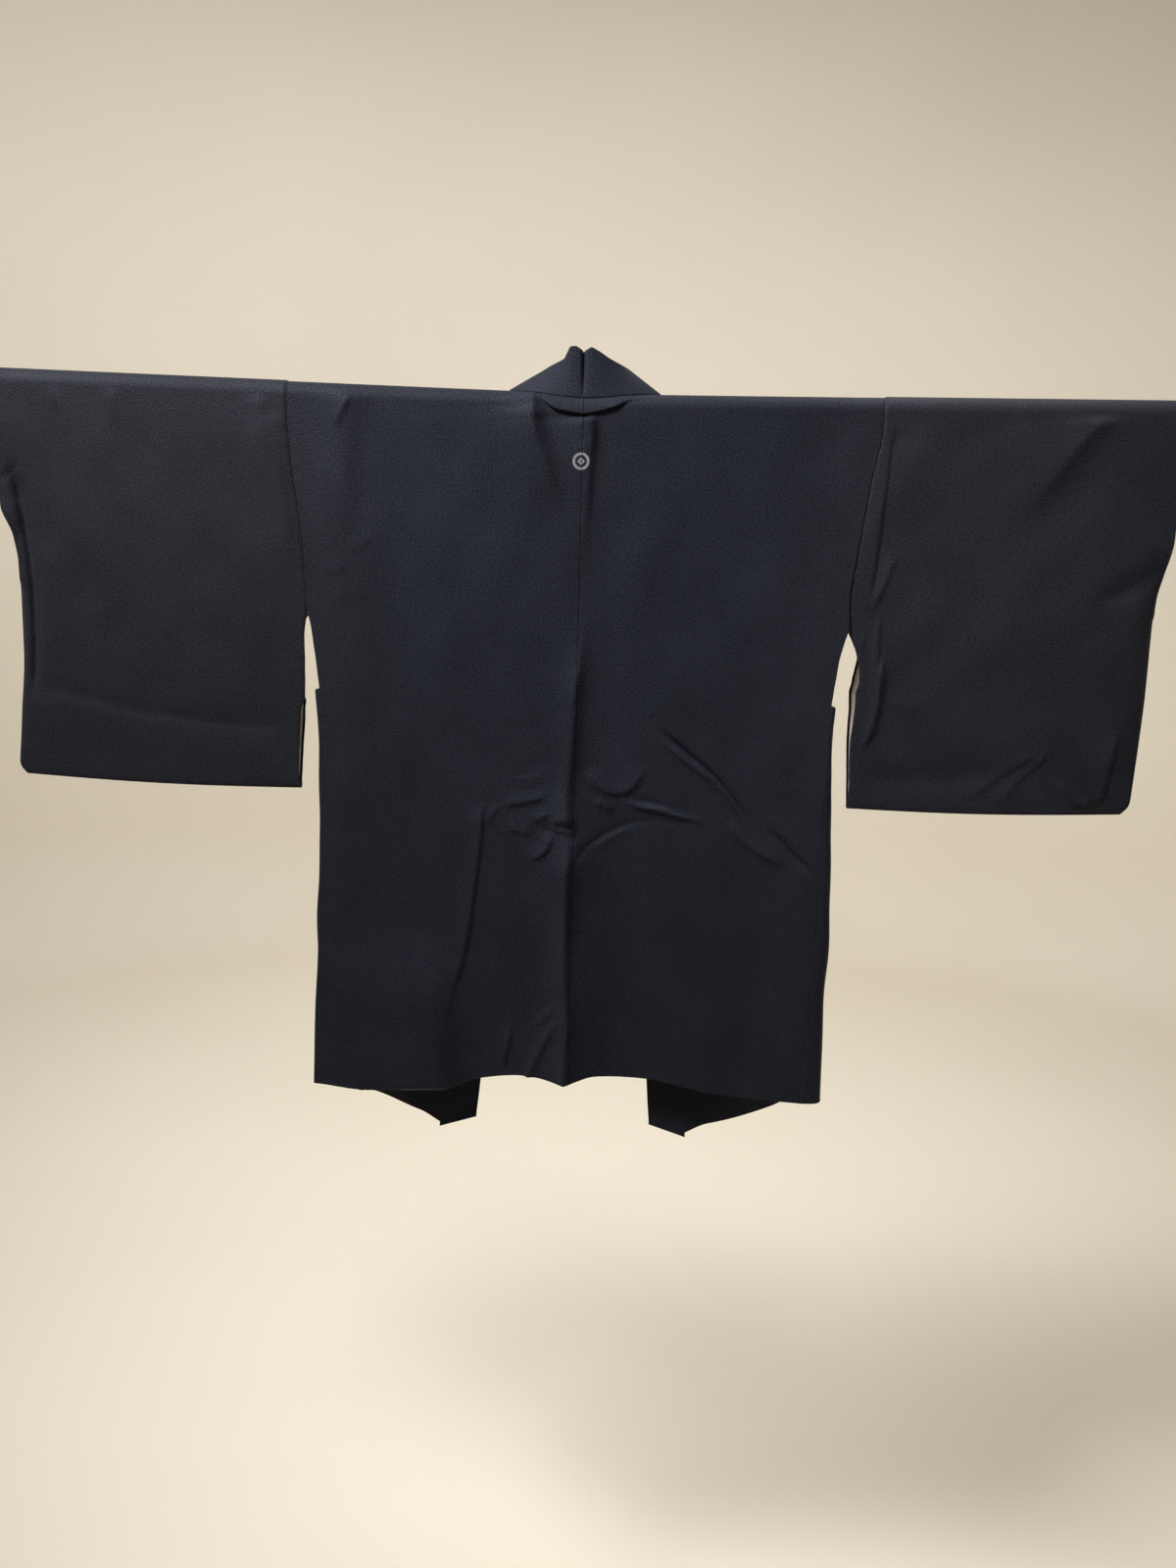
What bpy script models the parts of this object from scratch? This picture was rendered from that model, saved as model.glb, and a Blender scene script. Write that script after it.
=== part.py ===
"""Haori jacket hanging flat on a rod that runs through both of its sleeves.

World frame, in metres: the back of the jacket faces -Y, the wearer's right arm points to +X, +Z is up,
and the origin is the middle of the rod's axis. Every cloth piece is drawn as the middle surface of its
wall, a loft of sections, and gets its thickness from a Solidify modifier. The whole jacket follows the
rod, which sags a little in the middle and lies slightly lower at its right end.
"""

import math
from collections import namedtuple

import bmesh
import bpy
import numpy as np

LEFT, RIGHT = -1, 1  # the wearer's sides, as signs of X
NAMES = {LEFT: "left", RIGHT: "right"}

# The rod: black-painted steel tube, with a slight sag and tilt.
ROD_RADIUS = 0.014
ROD_LENGTH = 1.46
ROD_SIDES = 20
ROD_STATIONS = 23
SAG_SLOPE = 0.0155
SAG_EASE = 0.060  # half length of the soft bend in the middle
TILT_SLOPE = 0.0075

# Walls of cloth, and the gap that every seam keeps.
GAP = 0.0003
TURN_GAP = 0.0012  # where a wall turns a corner at its seam, measured along its middle surface
FRONT_GAP = 0.0009  # likewise, where the collar leans away from the front panel
NECK_GAP = 0.0018  # likewise, where the collar stands up from the body
LINING_GAP = 0.0008  # between a sleeve and its lining
BODY_WALL = 0.002  # face cloth and its lining, sewn as one
SLEEVE_WALL = 0.0012
LINING_WALL = 0.001
COLLAR_WALL = 0.003  # a folded band
GUSSET_WALL = 0.0015

# The cut.
NECK_HALF = 0.084
SEAM_FLAT = 0.006  # strip beside the centre back seam that lies flat across
SIDE_FLAT = 0.030  # folds run out over this width before a side seam
NECK_DIP = math.radians(54)  # how far down the back of the rod the neck seam lies at the centre
NECK_ROUNDNESS = 1.4
ARMPIT_Z = -0.235
GUSSET_TOP_Z = -0.327
SLEEVE_DROP = 0.4445
SLEEVE_BELLY = 0.0035
SLEEVE_CORNER = 0.016
CUFF_END_Z = -0.214
EDGE_HALF = 0.0032  # half the thickness of a sleeve along its closed edges
EDGE_TURN = 0.030  # how far in from a closed edge the two layers part fully
CUFF_EASE = 0.080  # height over which the cuff's layers come together above its sewn end
FOLD_ROOM = 1.5  # sleeve folds reach full depth where the layers are this near to fully parted
LINING_SETBACK = 0.003

# The fronts in plan: a cubic curve whose handles grow from straight to these with the slack.
SLACK_TOP_Z = -0.040
SLACK_DROP = 1.1  # height over which the slack would come to its full share
SLACK_SHARE = 1.06
SEAM_HANDLE = 2.1  # in thirds of the panel's width
SEAM_HANDLE_DEPTH = 0.015
SIDE_HANDLE = 0.025  # past the side seam
SIDE_HANDLE_DEPTH = 0.085

# How finely the lofts are cut.
ARC_STEPS = 8  # over the top half of the rod
ARMHOLE_STEPS = 5
SLIT_STEPS = 2
SKIRT_STEPS = 12
NECK_COLUMNS = 4
PANEL_COLUMNS = 8
SLEEVE_LOW_STEPS = 4
GUSSET_COLUMNS = 4
SLEEVE_SHARES = (0, 0.08, 0.30, 0.58, 0.85, 0.952, 1)

# The lip: body cloth that rolls over below the back neck seam.
LIP_HEIGHT = 0.005
LIP_HALF = 0.055
LIP_LOW_Z = -0.008
LIP_LEVELS = (-0.0065, -0.0115)
LIP_UNDER = 0.002  # height over which the roll turns under at its lower edge
LIP_OVER = 0.008  # and over which it rises from the neck seam

BackSide = namedtuple("BackSide", "z left right")  # distance from the centre to the back panel's side
BACK_SIDE = (
    BackSide(0.000, 0.3310, 0.3300),
    BackSide(-0.074, 0.3260, 0.3200),
    BackSide(-0.157, 0.3150, 0.3090),
    BackSide(-0.196, 0.3110, 0.3030),
    BackSide(-0.235, 0.3090, 0.3030),
    BackSide(-0.270, 0.3020, 0.2920),
    BackSide(-0.327, 0.2965, 0.2885),
    BackSide(-0.400, 0.2960, 0.2895),
    BackSide(-0.500, 0.2970, 0.2905),
    BackSide(-0.620, 0.3010, 0.2870),
    BackSide(-0.750, 0.3060, 0.2800),
    BackSide(-0.810, 0.3080, 0.2790),
)
FrontSide = namedtuple("FrontSide", "z left right depth_left depth_right")
FRONT_SIDE = (
    FrontSide(-0.327, 0.2965, 0.2885, 0.0153, 0.0153),
    FrontSide(-0.810, 0.3000, 0.2970, 0.0400, 0.0320),
)
CollarSeam = namedtuple("CollarSeam", "z left right")  # seam from the neck down the fronts
COLLAR_SEAM = (
    CollarSeam(0.000, 0.0880, 0.0880),
    CollarSeam(-0.100, 0.0940, 0.0930),
    CollarSeam(-0.865, 0.1600, 0.1445),
)
Furi = namedtuple("Furi", "z left right")  # free inner edge of the sleeve, below the armhole
FURI = (
    Furi(-0.235, 0.3093, 0.3033),
    Furi(-0.270, 0.3155, 0.3170),
    Furi(-0.320, 0.3180, 0.3155),
    Furi(-0.380, 0.3230, 0.3150),
    Furi(-0.445, 0.3262, 0.3148),
)
Cuff = namedtuple("Cuff", "z left right")  # outer edge of the sleeve
CUFF = (
    Cuff(0.000, 0.6650, 0.6570),
    Cuff(-0.134, 0.6620, 0.6555),
    Cuff(-0.168, 0.6510, 0.6510),
    Cuff(-0.212, 0.6485, 0.6465),
    Cuff(-0.300, 0.6490, 0.6465),
    Cuff(-0.370, 0.6550, 0.6445),
    Cuff(-0.445, 0.6620, 0.6410),
)
BackHem = namedtuple("BackHem", "x z")
BACK_HEM = (
    BackHem(-0.308, -0.807),
    BackHem(-0.246, -0.810),
    BackHem(-0.160, -0.804),
    BackHem(-0.105, -0.787),
    BackHem(-0.048, -0.779),
    BackHem(-0.003, -0.788),
    BackHem(0.031, -0.777),
    BackHem(0.095, -0.780),
    BackHem(0.190, -0.798),
    BackHem(0.279, -0.805),
)
FrontHem = namedtuple("FrontHem", "share z")  # share of the way from the collar seam to the side seam
FRONT_HEM = (
    FrontHem(0.00, -0.862),
    FrontHem(0.10, -0.851),
    FrontHem(0.50, -0.841),
    FrontHem(0.80, -0.827),
    FrontHem(1.00, -0.811),
)
# The back collar, from left to right: where each line starts on the neck seam and where it meets the fold.
NeckLine = namedtuple("NeckLine", "seam_x fold_x fold_y fold_z")
NECK_LINES = (
    NeckLine(-0.084, -0.047, 0.014, 0.0400),
    NeckLine(-0.055, -0.036, 0.004, 0.0450),
    NeckLine(-0.029, -0.022, -0.002, 0.0520),
    NeckLine(-0.019, -0.018, -0.005, 0.0600),
    NeckLine(-0.010, -0.012, -0.005, 0.0635),
    NeckLine(-0.001, -0.0015, 0.004, 0.0590),
    NeckLine(0.008, 0.0065, -0.005, 0.0615),
    NeckLine(0.018, 0.015, -0.005, 0.0585),
    NeckLine(0.032, 0.026, -0.002, 0.0520),
    NeckLine(0.055, 0.038, 0.004, 0.0475),
    NeckLine(0.084, 0.047, 0.014, 0.0440),
)
# The fold edge of the collar down a front: inset is its distance from the collar seam, towards the middle.
FoldRun = namedtuple("FoldRun", "z inset depth rise")
FOLD_RUN = (
    FoldRun(0.016, 0.036, 0.026, 0.022),
    FoldRun(0.000, 0.039, 0.029, 0.012),
    FoldRun(-0.040, 0.043, 0.028, 0.002),
    FoldRun(-0.100, 0.046, 0.024, 0.000),
    FoldRun(-0.865, 0.0455, 0.019, 0.000),
)
GUSSET_TOP_HANDLE = 0.005  # the gusset's curve in plan: how straight it leaves the panels at its top
GUSSET_BACK_HANDLE = {LEFT: 0.010, RIGHT: 0.050}  # and at the hem, from the back panel
GUSSET_FRONT_HANDLE = 0.022  # and from the front panel
COLLAR_TAIL = 0.006  # the collar's lower end hangs this far below the front hem at its seam
COLLAR_TAIL_RISE = 0.014
STAND_DROP = 0.030  # height over which the collar goes over from standing up to lying in the front

# Largest folds of the back: straight ridges (height > 0, towards -Y) and troughs, as wide as twice reach.
Fold = namedtuple("Fold", "x_top z_top x_low z_low reach height")
BACK_FOLDS = (
    Fold(-0.040, -0.010, -0.024, -0.120, 0.026, -0.006),
    Fold(0.018, -0.015, 0.006, -0.190, 0.024, -0.005),
    Fold(-0.248, -0.030, -0.252, -0.180, 0.032, -0.005),
    Fold(-0.285, -0.030, -0.282, -0.170, 0.026, 0.003),
    Fold(0.006, -0.280, 0.004, -0.460, 0.024, -0.007),
    Fold(-0.020, -0.340, -0.020, -0.480, 0.024, 0.004),
    Fold(-0.006, -0.470, -0.006, -0.800, 0.038, 0.011),
    Fold(0.100, -0.350, 0.256, -0.516, 0.030, -0.010),
    Fold(0.150, -0.340, 0.270, -0.470, 0.030, 0.005),
    Fold(-0.110, -0.440, -0.150, -0.740, 0.034, -0.006),
    Fold(-0.080, -0.400, -0.030, -0.460, 0.030, 0.005),
    Fold(0.070, -0.400, 0.020, -0.470, 0.030, 0.005),
)
SLEEVE_FOLDS = {
    LEFT: (
        Fold(-0.642, -0.090, -0.632, -0.300, 0.045, -0.007),
        Fold(-0.620, -0.335, -0.350, -0.375, 0.040, 0.004),
    ),
    RIGHT: (
        Fold(0.346, -0.030, 0.326, -0.210, 0.045, -0.006),
        Fold(0.580, -0.010, 0.500, -0.110, 0.050, -0.004),
        Fold(0.350, -0.260, 0.330, -0.370, 0.045, -0.005),
    ),
}


def table(rows, column, at, key="z"):
    """The value of a table's column where its key column equals at, between rows in proportion."""
    ordered = sorted(rows, key=lambda row: getattr(row, key))
    return float(np.interp(at, [getattr(r, key) for r in ordered], [getattr(r, column) for r in ordered]))


def lerp(start, end, share):
    """The value this share of the way from start to end."""
    return start + (end - start) * share


def smooth(share):
    """An S-curve from 0 to 1 for a share that is clamped to that range."""
    share = min(max(share, 0.0), 1.0)
    return share * share * (3 - 2 * share)


def rise(x):
    """How much higher the rod's axis lies at x than in the middle."""
    return SAG_SLOPE * (math.hypot(x, SAG_EASE) - SAG_EASE) - TILT_SLOPE * x


def round_rod(inner, wall):
    """Radius of a wall's middle surface whose flats, between arc steps, lie at inner and outside it."""
    return (inner + wall / 2) / math.cos(math.pi / 2 / ARC_STEPS)


BODY_RADIUS = round_rod(ROD_RADIUS + GAP, BODY_WALL)
SLEEVE_RADIUS = round_rod(ROD_RADIUS + GAP + LINING_WALL + LINING_GAP, SLEEVE_WALL)
COLLAR_RADIUS = round_rod(ROD_RADIUS + GAP, COLLAR_WALL)


def relief(folds, x, z):
    """How far the folds lift the cloth towards the outside at x, z."""
    height = 0.0
    for fold in folds:
        run_x, run_z = fold.x_low - fold.x_top, fold.z_low - fold.z_top
        along = ((x - fold.x_top) * run_x + (z - fold.z_top) * run_z) / (run_x**2 + run_z**2)
        along = min(max(along, 0.0), 1.0)
        away = math.hypot(x - fold.x_top - along * run_x, z - fold.z_top - along * run_z)
        if away < fold.reach:
            height += fold.height * math.cos(math.pi / 2 * away / fold.reach) ** 2
    return height


def lip(x, z):
    """How far the roll below the back neck seam stands out at x, z."""
    across = 1 - (x / LIP_HALF) ** 2
    if across <= 0:
        return 0.0
    edge_z = lerp(BODY_RADIUS * math.cos(NECK_DIP), LIP_LOW_Z, across)
    top_z = BODY_RADIUS * math.cos(neck_angle(x))
    lower = (z - edge_z) / LIP_UNDER
    upper = (top_z - z) / LIP_OVER
    return LIP_HEIGHT * min(max(min(lower, upper), 0.0), 1.0)


def neck_angle(x):
    """Angle from the top of the rod, towards the back, at which the neck seam lies."""
    across = min(abs(x) / NECK_HALF, 1.0)
    return NECK_DIP * (1 - across**2) ** NECK_ROUNDNESS


def levels():
    """Heights of the sections that the panels, sleeves and collar share, down to the gusset."""
    armhole = [ARMPIT_Z * step / ARMHOLE_STEPS for step in range(1, ARMHOLE_STEPS + 1)]
    slit = [lerp(ARMPIT_Z, GUSSET_TOP_Z, step / SLIT_STEPS) for step in range(1, SLIT_STEPS + 1)]
    return armhole + slit


def skirt_z(hem_z, step):
    """Height of a section between the gusset's top and the hem."""
    return lerp(GUSSET_TOP_Z, hem_z, step / SKIRT_STEPS)


def hung(x, y, z):
    """A point of the jacket moved up or down with the rod."""
    return (x, y, z + rise(x))


def back_point(x, z):
    """Middle of the back panel's wall, below the rod's axis."""
    side = LEFT if x < 0 else RIGHT
    from_side = abs(back_side(side, z)) - abs(x)
    lift = relief(BACK_FOLDS, 0.0 if abs(x) <= SEAM_FLAT else x, z) * smooth(from_side / SIDE_FLAT)
    if z > 2 * LIP_LEVELS[1]:  # no trough right below the roll
        lift = max(lift, 0.0)
    return hung(x, -(BODY_RADIUS + lift + lip(x, z)), z)


def shoulder_point(x, angle):
    """Middle of the body's wall on the rod, at this angle from the top towards the back."""
    radius = BODY_RADIUS + (lip(x, BODY_RADIUS * math.cos(angle)) if angle > 0 else 0.0)
    return hung(x, -radius * math.sin(angle), radius * math.cos(angle))


def back_side(side, z):
    """X of the back panel's side edge."""
    return side * (table(BACK_SIDE, NAMES[side], z) - GAP / 2)


def back_skirt_side(side, step):
    """X of the back panel's side edge at a section between the gusset's top and the hem."""
    return back_side(side, skirt_z(BACK_HEM[0 if side == LEFT else -1].z, step))


def front_side(side, z):
    """X and Y of the front panel's side edge."""
    name = NAMES[side]
    if z >= GUSSET_TOP_Z:
        return back_side(side, z), BODY_RADIUS
    return side * table(FRONT_SIDE, name, z), table(FRONT_SIDE, "depth_" + name, z) + BODY_RADIUS - BODY_WALL


def bezier(points, share):
    """Point of a cubic curve in plan."""
    rest = 1 - share
    weights = (rest**3, 3 * rest**2 * share, 3 * rest * share**2, share**3)
    return tuple(sum(w * p[axis] for w, p in zip(weights, points)) for axis in (0, 1))


def front_plan(side, z):
    """The four points of the cubic curve that the front panel follows in plan, from collar seam to side.

    The fronts hang slack: their cloth is wider than the room between the seams, so that each one runs
    back from the collar, turns and comes forward to its side seam, more so towards the hem.
    """
    start_x = side * table(COLLAR_SEAM, NAMES[side], z)
    end_x, end_y = front_side(side, z)
    slack = smooth((SLACK_TOP_Z - z) / SLACK_DROP) * SLACK_SHARE
    third = (end_x - start_x) / 3
    start, end = (start_x, BODY_RADIUS), (end_x, end_y)
    out = (start_x + third * lerp(1, SEAM_HANDLE, slack), BODY_RADIUS + SEAM_HANDLE_DEPTH * slack)
    back = (end_x - third * (1 - slack) + side * SIDE_HANDLE * slack, end_y + SIDE_HANDLE_DEPTH * slack)
    return start, out, back, end


def front_point(side, share, z):
    """Middle of the front panel's wall, below the rod's axis."""
    x, y = bezier(front_plan(side, z), share)
    return hung(x, y, z)


def body_rows(side):
    """Sections of one body panel, from the back hem over the shoulder to the front hem.

    Columns run from the centre out; those inside the neck exist only behind the neck seam.
    """
    inner = [GAP / 2, SEAM_FLAT] + [NECK_HALF * step / NECK_COLUMNS for step in range(1, NECK_COLUMNS)]
    shares = [step / PANEL_COLUMNS for step in range(PANEL_COLUMNS + 1)]

    def columns(out):
        xs = inner + [lerp(NECK_HALF, abs(out), share) for share in shares]
        return [side * x for x in xs]

    rows = []
    for step in range(SKIRT_STEPS, 0, -1):
        xs = columns(back_skirt_side(side, step))
        rows.append([back_point(x, skirt_z(table(BACK_HEM, "z", x, "x"), step)) for x in xs])
    for z in reversed([*LIP_LEVELS, *levels()]):
        rows.append([back_point(x, z) for x in columns(back_side(side, z))])
    half = ARC_STEPS // 2
    for step in range(half + 1):
        xs = columns(back_side(side, 0))
        angles = [lerp(math.pi / 2, neck_angle(x) + GAP / BODY_RADIUS, step / half) for x in xs]
        rows.append([shoulder_point(x, angle) for x, angle in zip(xs, angles)])
    blank = [None] * len(inner)
    for step in range(1, half + 1):
        angle = -math.pi / 2 * step / half
        seam = lerp(NECK_HALF, table(COLLAR_SEAM, NAMES[side], 0), step / half)
        xs = [side * lerp(seam, abs(back_side(side, 0)), share) for share in shares]
        rows.append(blank + [shoulder_point(x, angle) for x in xs])
    for z in levels():
        rows.append(blank + [front_point(side, share, z) for share in shares])
    for step in range(1, SKIRT_STEPS + 1):
        hems = [table(FRONT_HEM, "z", share, "share") for share in shares]
        rows.append(blank + [front_point(side, s, skirt_z(hem, step)) for s, hem in zip(shares, hems)])
    return rows


def gusset_rows(side):
    """Sections of the side gusset, from the slit down to the hem: each leaves the back panel in its plane
    and turns into the line of the front panel."""
    rows = []
    for step in range(SKIRT_STEPS + 1):
        back_x = back_skirt_side(side, step)
        back_z = skirt_z(table(BACK_HEM, "z", back_x, "x"), step)
        front_z = skirt_z(table(FRONT_HEM, "z", 1, "share"), step)
        plan = front_plan(side, front_z)
        away = np.subtract(plan[2], plan[3])
        away = away / np.linalg.norm(away)
        start = np.array((back_x + side * TURN_GAP, back_point(back_x, back_z)[1]))
        end = np.array(plan[3]) - away * TURN_GAP
        swell = step / SKIRT_STEPS
        out = start + np.array((side * lerp(GUSSET_TOP_HANDLE, GUSSET_BACK_HANDLE[side], swell), 0))
        turn = end - away * lerp(GUSSET_TOP_HANDLE, GUSSET_FRONT_HANDLE, swell)
        row = []
        for column in range(GUSSET_COLUMNS + 1):
            share = column / GUSSET_COLUMNS
            x, y = bezier((start, out, turn, end), share)
            row.append(hung(x, y, lerp(back_z, front_z, share)))
        rows.append(row)
    return rows


def sleeve_levels():
    """Heights of the sleeve's sections at its inner end, from the rod's axis to the bottom."""
    attached = levels()[:ARMHOLE_STEPS]
    free = [lerp(ARMPIT_Z, -SLEEVE_DROP, step / SLEEVE_LOW_STEPS) for step in range(1, SLEEVE_LOW_STEPS)]
    near_bottom = -SLEEVE_DROP + SLEEVE_CORNER
    return [0.0, *attached, *free, near_bottom, -SLEEVE_DROP]


def sleeve_rows(side):
    """Closed sections round the sleeve, as rows of columns from the armhole to the cuff."""
    name = NAMES[side]

    def column(share, level):
        """X, Z and half depth of the sleeve where this column crosses this level."""
        near = table(BACK_SIDE if level >= ARMPIT_Z else FURI, name, level) + GAP / 2
        reach = table(CUFF, name, level)
        x = lerp(near, reach, share)
        z = level * (1 + SLEEVE_BELLY / SLEEVE_DROP * math.sin(math.pi * share))
        if share == 1 and level == -SLEEVE_DROP:
            cut = SLEEVE_CORNER * (1 - math.sqrt(0.5))
            x, z = x - cut, z + cut
        full = EDGE_HALF + (SLEEVE_RADIUS - EDGE_HALF) * (1 - (level / SLEEVE_DROP) ** 2)
        opened = smooth((level - CUFF_END_Z) / CUFF_EASE)
        from_edge = min(max((reach - x) / EDGE_TURN, 0.0), 1.0)
        parted = max(opened, math.sqrt(1 - (1 - from_edge) ** 2))
        return x, z, lerp(EDGE_HALF, full, parted), smooth((x - near) / SIDE_FLAT)

    def hanging(level, facing):
        row = []
        for share in SLEEVE_SHARES:
            x, z, half, ease = column(share, level)
            if facing < 0 and level < 0:
                apart = min(1.0, FOLD_ROOM * (half - EDGE_HALF) / (SLEEVE_RADIUS - EDGE_HALF))
                half += relief(SLEEVE_FOLDS[side], side * x, z) * ease * apart
            row.append(hung(side * x, facing * half, z))
        return row

    heights = sleeve_levels()
    rows = [hanging(level, -1) for level in reversed(heights)]
    for step in range(1, ARC_STEPS):
        angle = math.pi / 2 - math.pi * step / ARC_STEPS
        xs = [side * column(share, 0)[0] for share in SLEEVE_SHARES]
        rows.append([hung(x, -SLEEVE_RADIUS * math.sin(angle), SLEEVE_RADIUS * math.cos(angle)) for x in xs])
    rows += [hanging(level, 1) for level in heights]
    return rows


def collar_lines():
    """The collar's cross lines, each from the seam to the fold, from the left hem round to the right hem."""

    def front(side):
        name = NAMES[side]
        stations = []
        half = ARC_STEPS // 2
        for step in range(1, half + 1):
            angle = math.pi / 2 * step / half
            x = lerp(NECK_HALF, table(COLLAR_SEAM, name, 0), step / half)
            stations.append((x, COLLAR_RADIUS * math.sin(angle), COLLAR_RADIUS * math.cos(angle)))
        heights = levels() + [skirt_z(FRONT_HEM[0].z, step) for step in range(1, SKIRT_STEPS + 1)]
        for z in heights:
            stations.append((table(COLLAR_SEAM, name, z), COLLAR_RADIUS, z))
        lines = []
        for x, y, z in stations:
            fold_x = x - table(FOLD_RUN, "inset", z)
            fold_z = z + table(FOLD_RUN, "rise", z)
            lines.append([(x, y, z), (fold_x, table(FOLD_RUN, "depth", z), fold_z)])
        seam_end, fold_end = lines[-1]
        tail_z = seam_end[2] - COLLAR_TAIL
        lines[-1] = [(*seam_end[:2], tail_z), (*fold_end[:2], tail_z + COLLAR_TAIL_RISE)]
        return [[hung(side * p[0], p[1], p[2]) for p in line] for line in lines]

    neck = []
    for row in NECK_LINES:
        angle = neck_angle(row.seam_x)
        seam = hung(row.seam_x, -COLLAR_RADIUS * math.sin(angle), COLLAR_RADIUS * math.cos(angle))
        neck.append([seam, (row.fold_x, row.fold_y, row.fold_z)])
    return front(LEFT)[::-1] + neck + front(RIGHT)


def collar_rows():
    """The collar's lines, started clear of the body's edge and given a middle point."""
    rows = []
    for seam, fold in collar_lines():
        seam, fold = np.array(seam), np.array(fold)
        run = (fold - seam) / np.linalg.norm(fold - seam)
        clear = lerp(FRONT_GAP, NECK_GAP, smooth(1 + seam[2] / STAND_DROP))
        start = seam + run * clear
        rows.append([tuple(start), tuple((start + fold) / 2), tuple(fold)])
    return rows


def material(name, rgb, roughness, metallic=0.0):
    """A Principled material of one colour."""
    made = bpy.data.materials.new(name)
    made.use_nodes = True
    shader = made.node_tree.nodes["Principled BSDF"]
    shader.inputs["Base Color"].default_value = (*rgb, 1)
    shader.inputs["Roughness"].default_value = roughness
    shader.inputs["Metallic"].default_value = metallic
    return made


def loft(rows, wrap=False):
    """A mesh of quads between sections; a missing point leaves its quads out."""
    mesh = bmesh.new()
    grid = [[point and mesh.verts.new(point) for point in row] for row in rows]
    pairs = list(zip(grid, grid[1:])) + ([(grid[-1], grid[0])] if wrap else [])
    for low, high in pairs:
        for column in range(len(low) - 1):
            corners = (low[column], low[column + 1], high[column + 1], high[column])
            if all(corners):
                mesh.faces.new(corners)
    return mesh, grid


def slide(grid_row, column, towards, distance):
    """Moves one vertex of a row along the surface, towards its neighbour."""
    vertex, other = grid_row[column], grid_row[towards]
    vertex.co = vertex.co + (other.co - vertex.co).normalized() * distance


def shrink(mesh, depth):
    """Moves a surface in along its normals, by an even depth."""
    bmesh.ops.recalc_face_normals(mesh, faces=mesh.faces)
    mesh.normal_update()
    moves = [(v, v.normal * v.calc_shell_factor() * depth) for v in mesh.verts]
    for vertex, move in moves:
        vertex.co = vertex.co - move


def close_outer_edge(mesh, grid, closed_rows):
    """Sews the last columns of the back and front layers together along their lowest rows."""
    for row in range(closed_rows - 1):
        back_low, back_high = grid[row][-1], grid[row + 1][-1]
        front_low, front_high = grid[-1 - row][-1], grid[-2 - row][-1]
        mesh.faces.new((back_low, front_low, front_high, back_high))


def cloth(name, mesh, wall, finish, collection):
    """An object of this surface with a wall of cloth centred on it."""
    bmesh.ops.recalc_face_normals(mesh, faces=mesh.faces)
    data = bpy.data.meshes.new(name)
    mesh.to_mesh(data)
    mesh.free()
    piece = bpy.data.objects.new(name, data)
    collection.objects.link(piece)
    data.materials.append(finish)
    data.shade_smooth()
    solidify = piece.modifiers.new("wall", "SOLIDIFY")
    solidify.thickness = wall
    solidify.offset = 0
    solidify.use_even_offset = True
    solidify.use_quality_normals = True
    return piece


def build_body(side, finish, collection):
    """One body panel: back, shoulder and front in one length of cloth."""
    mesh, _ = loft(body_rows(side))
    cloth(f"body_{NAMES[side]}", mesh, BODY_WALL, finish, collection)


def build_gusset(side, finish, collection):
    """The side gusset between back and front."""
    mesh, _ = loft(gusset_rows(side))
    cloth(f"gusset_{NAMES[side]}", mesh, GUSSET_WALL, finish, collection)


def build_sleeve(side, face, lining, collection):
    """One sleeve and, inside it, its lining, both open at the armhole, along the furi and at the cuff."""
    closed = 1 + sum(level <= CUFF_END_Z for level in sleeve_levels()[1:])
    rows = sleeve_rows(side)
    mesh, grid = loft(rows, wrap=True)
    close_outer_edge(mesh, grid, closed)
    cloth(f"sleeve_{NAMES[side]}", mesh, SLEEVE_WALL, face, collection)

    mesh, grid = loft(rows, wrap=True)
    close_outer_edge(mesh, grid, closed)
    shrink(mesh, SLEEVE_WALL / 2 + LINING_GAP + LINING_WALL / 2)
    for number, row in enumerate(grid):
        slide(row, 0, 1, LINING_SETBACK)
        if closed <= number < len(grid) - closed:
            slide(row, -1, -2, LINING_SETBACK)
    cloth(f"sleeve_lining_{NAMES[side]}", mesh, LINING_WALL, lining, collection)


def build_collar(finish, collection):
    """The collar band, round the neck and down both fronts."""
    mesh, _ = loft(collar_rows())
    cloth("collar", mesh, COLLAR_WALL, finish, collection)


def build_rod(finish, collection):
    """The round rod, swept along its sagging axis and capped."""
    curve = bpy.data.curves.new("rod_axis", "CURVE")
    curve.dimensions = "3D"
    spline = curve.splines.new("POLY")
    spline.points.add(ROD_STATIONS - 1)
    for step, point in enumerate(spline.points):
        x = lerp(-ROD_LENGTH / 2, ROD_LENGTH / 2, step / (ROD_STATIONS - 1))
        point.co = (x, 0, rise(x), 1)
    curve.bevel_depth = ROD_RADIUS
    curve.bevel_resolution = ROD_SIDES // 4 - 1
    curve.use_fill_caps = True
    curve.materials.append(finish)
    collection.objects.link(bpy.data.objects.new("rod", curve))


def main():
    """Clears the scene and builds every piece in its own collection."""
    for old in list(bpy.data.objects):
        bpy.data.objects.remove(old, do_unlink=True)
    collection = bpy.data.collections.new("haori_on_rod")
    bpy.context.scene.collection.children.link(collection)
    crepe = material("black_silk_crepe", (0.012, 0.013, 0.018), 0.8)
    lining = material("pink_white_silk_lining", (0.80, 0.70, 0.68), 0.5)
    paint = material("black_painted_steel", (0.010, 0.010, 0.011), 0.3)
    build_rod(paint, collection)
    for side in (LEFT, RIGHT):
        build_body(side, crepe, collection)
        build_gusset(side, crepe, collection)
        build_sleeve(side, crepe, lining, collection)
    build_collar(crepe, collection)


main()
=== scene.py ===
"""Haori jacket hanging on a rod: the finished look of every piece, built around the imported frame.

Metres throughout. The back of the jacket faces -Y, the wearer's right arm points to +X, +Z is up, and the
origin is the middle of the rod's axis. Each piece of cloth starts as a middle surface, cut and hung as the
real one is. It then gets its folds and, last, its thickness, which thins towards every edge so that a seam
shows as a fine groove between two rolled edges.
"""

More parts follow.
